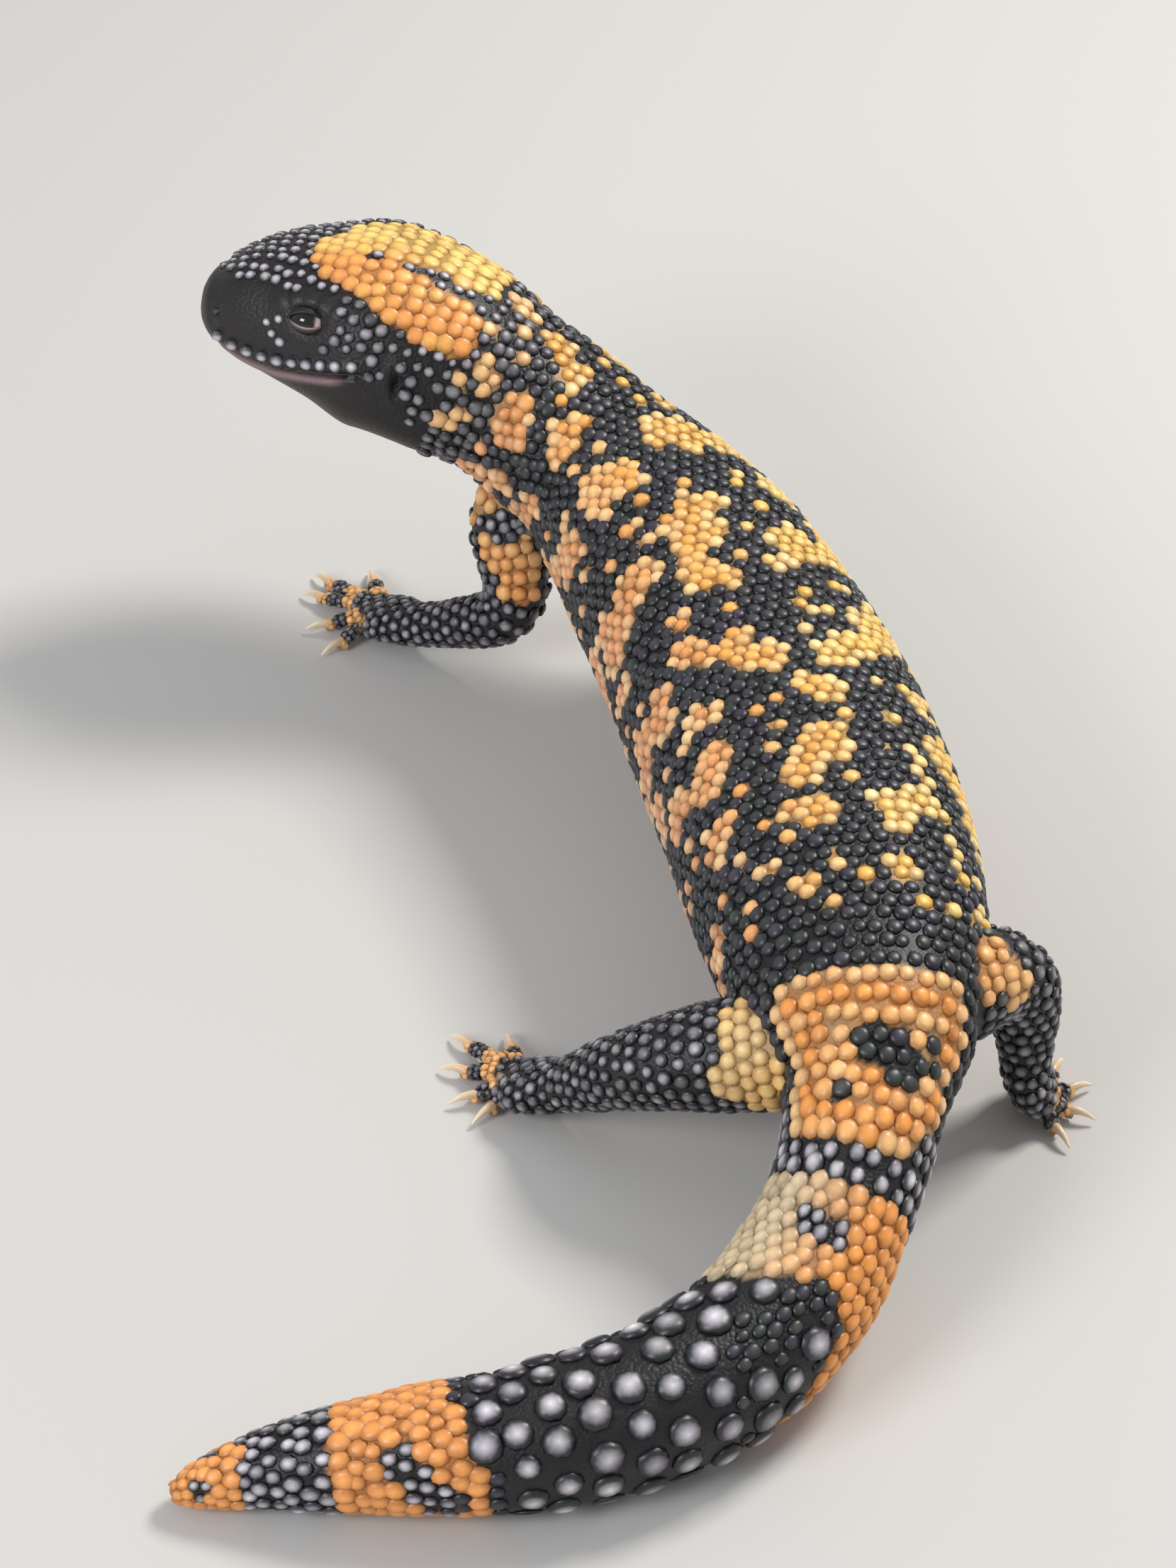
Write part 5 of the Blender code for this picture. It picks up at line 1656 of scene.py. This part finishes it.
def eye_finish():
    """A dark wet finish with a sharp reflection."""
    made, tree, surface = plain_finish("eye_wet")
    surface.inputs["Roughness"].default_value = 0.05
    surface.inputs["Specular IOR Level"].default_value = 0.4
    surface.inputs["Coat Weight"].default_value = 0.6
    surface.inputs["Coat Roughness"].default_value = 0.03
    tint = tree.nodes.new("ShaderNodeAttribute")
    tint.attribute_name = "tint"
    tree.links.new(tint.outputs["Color"], surface.inputs["Base Color"])
    return made


def named_finish(name):
    """The finish of that name, made once."""
    found = bpy.data.materials.get(name)
    if found:
        return found
    return eye_finish() if name == "eye_wet" else shader(name, *FINISHES[name])


# Each finish: roughness, coat, fineness and depth of its grain, and unevenness of its colour
FINISHES = {
    "hide_skin": (0.50, 0.05, 1400.0, 0.00025, 0.22),
    "bead_horn": (0.42, 0.12, 900.0, 0.00018, 0.18),
    "claw_horn": (0.36, 0.20, 700.0, 0.00010, 0.12),
    "lid_skin": (0.55, 0.05, 2200.0, 0.00010, 0.10),
}


def dress(item, finish):
    """Give a piece its finish and body."""
    item.data.materials.clear()
    item.data.materials.append(named_finish(finish))
    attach(item, "root")
    return item


def soft_light(name, place, size, power, colour):
    """A square area light that looks at the middle of the model."""
    data = bpy.data.lights.new(name, "AREA")
    data.energy = power
    data.size = size
    data.color = colour
    lamp = linked(name, data)
    lamp.location = place
    lamp.rotation_euler = (Vector(LIT_MIDDLE) - lamp.location).to_track_quat("-Z", "Y").to_euler()
    return lamp


FLOOR_HALF = 4.0
# Each light: name, place, size and colour
LIGHTS = (("key", (0.75, 0.35, 1.05), 0.36, (1.0, 0.97, 0.92)),
          ("fill", (-0.85, -0.55, 0.70), 0.45, (0.95, 0.97, 1.0)))
LIT_MIDDLE = (0.0, 0.0, 0.02)
SKY_COLOUR = (0.90, 0.91, 0.94, 1)
SKY_STRENGTH = 0.54


def make_floor(colour):
    """A pale floor at the level of the feet."""
    corners = [(x * FLOOR_HALF, y * FLOOR_HALF, 0) for x, y in ((-1, -1), (1, -1), (1, 1), (-1, 1))]
    floor = new_object("floor", corners, [(0, 1, 2, 3)], smooth=False)
    made, _, surface = plain_finish("floor_pale")
    surface.inputs["Base Color"].default_value = (*colour, 1)
    surface.inputs["Roughness"].default_value = 0.7
    floor.data.materials.append(made)
    return floor


def make_camera():
    """The camera where the picture was seen from, with its lens."""
    lens = bpy.data.cameras.new("camera")
    lens.lens = CAMERA_LENS
    lens.clip_start = 0.01
    camera = linked("camera", lens)
    azimuth, elevation = math.radians(CAMERA_AZIMUTH), math.radians(CAMERA_ELEVATION)
    back = Vector((math.sin(azimuth) * math.cos(elevation), -math.cos(azimuth) * math.cos(elevation),
                   math.sin(elevation)))
    target = Vector(np.array(CAMERA_TARGET) + SHIFT)
    camera.location = target + back * CAMERA_DISTANCE
    camera.rotation_euler = back.to_track_quat("Z", "Y").to_euler()
    bpy.context.scene.camera = camera


FLESH = ["head", "lower_jaw", "neck", "torso_shoulders", "torso_middle", "torso_loins", "torso_pelvis",
         "tail_base", "tail_middle", "tail_rear", "tail_tip"]
FLESH += [f"{leg}_{part}" for leg in LEGS for part in ("upper", "lower", "foot")]


class LizardSettings(bpy.types.PropertyGroup):
    """Sizes and colours of the looks."""
    bead_width: FloatProperty(name="Bead width", description="Width of every bead against its own measure",
                              default=1.0, min=0.5, max=1.3)
    bead_height: FloatProperty(name="Bead height", description="Height of every bead against its own measure",
                               default=1.0, min=0.3, max=2.0)
    bead_seed: IntProperty(name="Bead seed", description="Start of the random draws that place the beads",
                           default=31, min=0)
    black: FloatVectorProperty(name="Black", description="Ground colour of the hide", subtype="COLOR", size=3,
                               min=0, max=1, default=tuple(PALETTE["black"]))
    # Pale is the painted highlight on the crowns of the dark beads.
    pale: FloatVectorProperty(name="Pale", description="Tops of the pale beads", subtype="COLOR", size=3,
                              min=0, max=1, default=tuple(PALETTE["pale"]))
    orange: FloatVectorProperty(name="Orange", description="Markings of the trunk and tail", subtype="COLOR",
                                size=3, min=0, max=1, default=tuple(PALETTE["orange"]))
    # Gold on the right flank and salmon on the left are partly painted light: the right side faces the key
    # light.
    gold: FloatVectorProperty(name="Gold", description="Markings of the right flank", subtype="COLOR", size=3,
                              min=0, max=1, default=tuple(PALETTE["gold"]))
    salmon: FloatVectorProperty(name="Salmon", description="Markings of the left flank", subtype="COLOR",
                                size=3, min=0, max=1, default=tuple(PALETTE["salmon"]))
    floor: FloatVectorProperty(name="Floor", description="Colour of the floor", subtype="COLOR", size=3,
                               min=0, max=1, default=(0.56, 0.55, 0.53))
    key_power: FloatProperty(name="Key light", description="Power of the light from the upper right",
                             default=14.2, min=0, unit="POWER")
    fill_power: FloatProperty(name="Fill light", description="Power of the light from the left",
                              default=7.5, min=0, unit="POWER")


def take_colours(settings):
    """Bring the settings' colours into the palette."""
    for name in ("black", "pale", "orange", "gold", "salmon"):
        PALETTE[name] = np.array(getattr(settings, name), float)


class LIZARD_OT_hide(bpy.types.Operator):
    """Make the hide that stands for the flesh nodes."""
    bl_idname = "lizard.hide"
    bl_label = "Hide"

    def execute(self, context):
        take_colours(context.scene.lizard)
        hide = make_hide()
        dress(hide, "hide_skin")
        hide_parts(*FLESH)
        return {"FINISHED"}


class LIZARD_OT_beads(bpy.types.Operator):
    """Lay the beads over the hide, one piece for each region."""
    bl_idname = "lizard.beads"
    bl_label = "Beads"

    def execute(self, context):
        settings = context.scene.lizard
        take_colours(settings)
        hide = bpy.data.objects.get("hide")
        if hide is None:
            raise RuntimeError("Make the hide first")
        tree = BVHTree.FromObject(hide, context.evaluated_depsgraph_get())
        seed = settings.bead_seed
        made = lay_body_beads(tree, seed)
        for number, name in enumerate(LEGS):
            made.append(lay_leg_beads(name, tree, seed + 40 + 10 * number))
        for item in made:
            dress(item, "bead_horn")
        return {"FINISHED"}


class LIZARD_OT_eyes(bpy.types.Operator):
    """Make both eyeballs and their lids."""
    bl_idname = "lizard.eyes"
    bl_label = "Eyes and lids"

    def execute(self, context):
        for side, word in ((1, "left"), (-1, "right")):
            eye = dress(make_eye(side, word), "eye_wet")
            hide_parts("eye_" + word)
            dress(make_lids(side, word), "lid_skin")
        return {"FINISHED"}


class LIZARD_OT_claws(bpy.types.Operator):
    """Make the twenty claws."""
    bl_idname = "lizard.claws"
    bl_label = "Claws"

    def execute(self, context):
        for leg in LEGS:
            for number in range(1, 6):
                claw = make_claw(f"{leg}_toe_{number}", f"horn_{leg}_{number}")
                dress(claw, "claw_horn")
                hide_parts(f"{leg}_claw_{number}")
        return {"FINISHED"}


class LIZARD_OT_stage(bpy.types.Operator):
    """Make the floor, lights, sky and camera."""
    bl_idname = "lizard.stage"
    bl_label = "Stage"

    def execute(self, context):
        settings = context.scene.lizard
        make_floor(settings.floor)
        for name, place, size, colour in LIGHTS:
            soft_light(name, place, size, getattr(settings, name + "_power"), colour)
        world = bpy.data.worlds.new("soft_sky")
        world.use_nodes = True
        sky = world.node_tree.nodes["Background"]
        sky.inputs["Color"].default_value = SKY_COLOUR
        sky.inputs["Strength"].default_value = SKY_STRENGTH
        context.scene.world = world
        context.scene.view_settings.view_transform = "Standard"
        make_camera()
        return {"FINISHED"}


class LIZARD_PT_panel(bpy.types.Panel):
    """The looks' settings and operators."""
    bl_label = "Lizard"
    bl_space_type = "VIEW_3D"
    bl_region_type = "UI"
    bl_category = "Lizard"

    def draw(self, context):
        settings = context.scene.lizard
        column = self.layout.column()
        for name in LizardSettings.__annotations__:
            column.prop(settings, name)
        for operator in STEPS:
            column.operator(operator.bl_idname)


STEPS = (LIZARD_OT_hide, LIZARD_OT_beads, LIZARD_OT_eyes, LIZARD_OT_claws, LIZARD_OT_stage)
CLASSES = (LizardSettings, *STEPS, LIZARD_PT_panel)


def register():
    """Register the classes and the scene's settings."""
    for item in CLASSES:
        bpy.utils.register_class(item)
    bpy.types.Scene.lizard = PointerProperty(type=LizardSettings)


def unregister():
    """Take the settings and the classes away again."""
    del bpy.types.Scene.lizard
    for item in reversed(CLASSES):
        bpy.utils.unregister_class(item)


def main():
    """Make every piece in order."""
    register()
    bpy.ops.lizard.hide()
    bpy.ops.lizard.beads()
    bpy.ops.lizard.eyes()
    bpy.ops.lizard.claws()
    bpy.ops.lizard.stage()


if __name__ == "__main__":
    main()
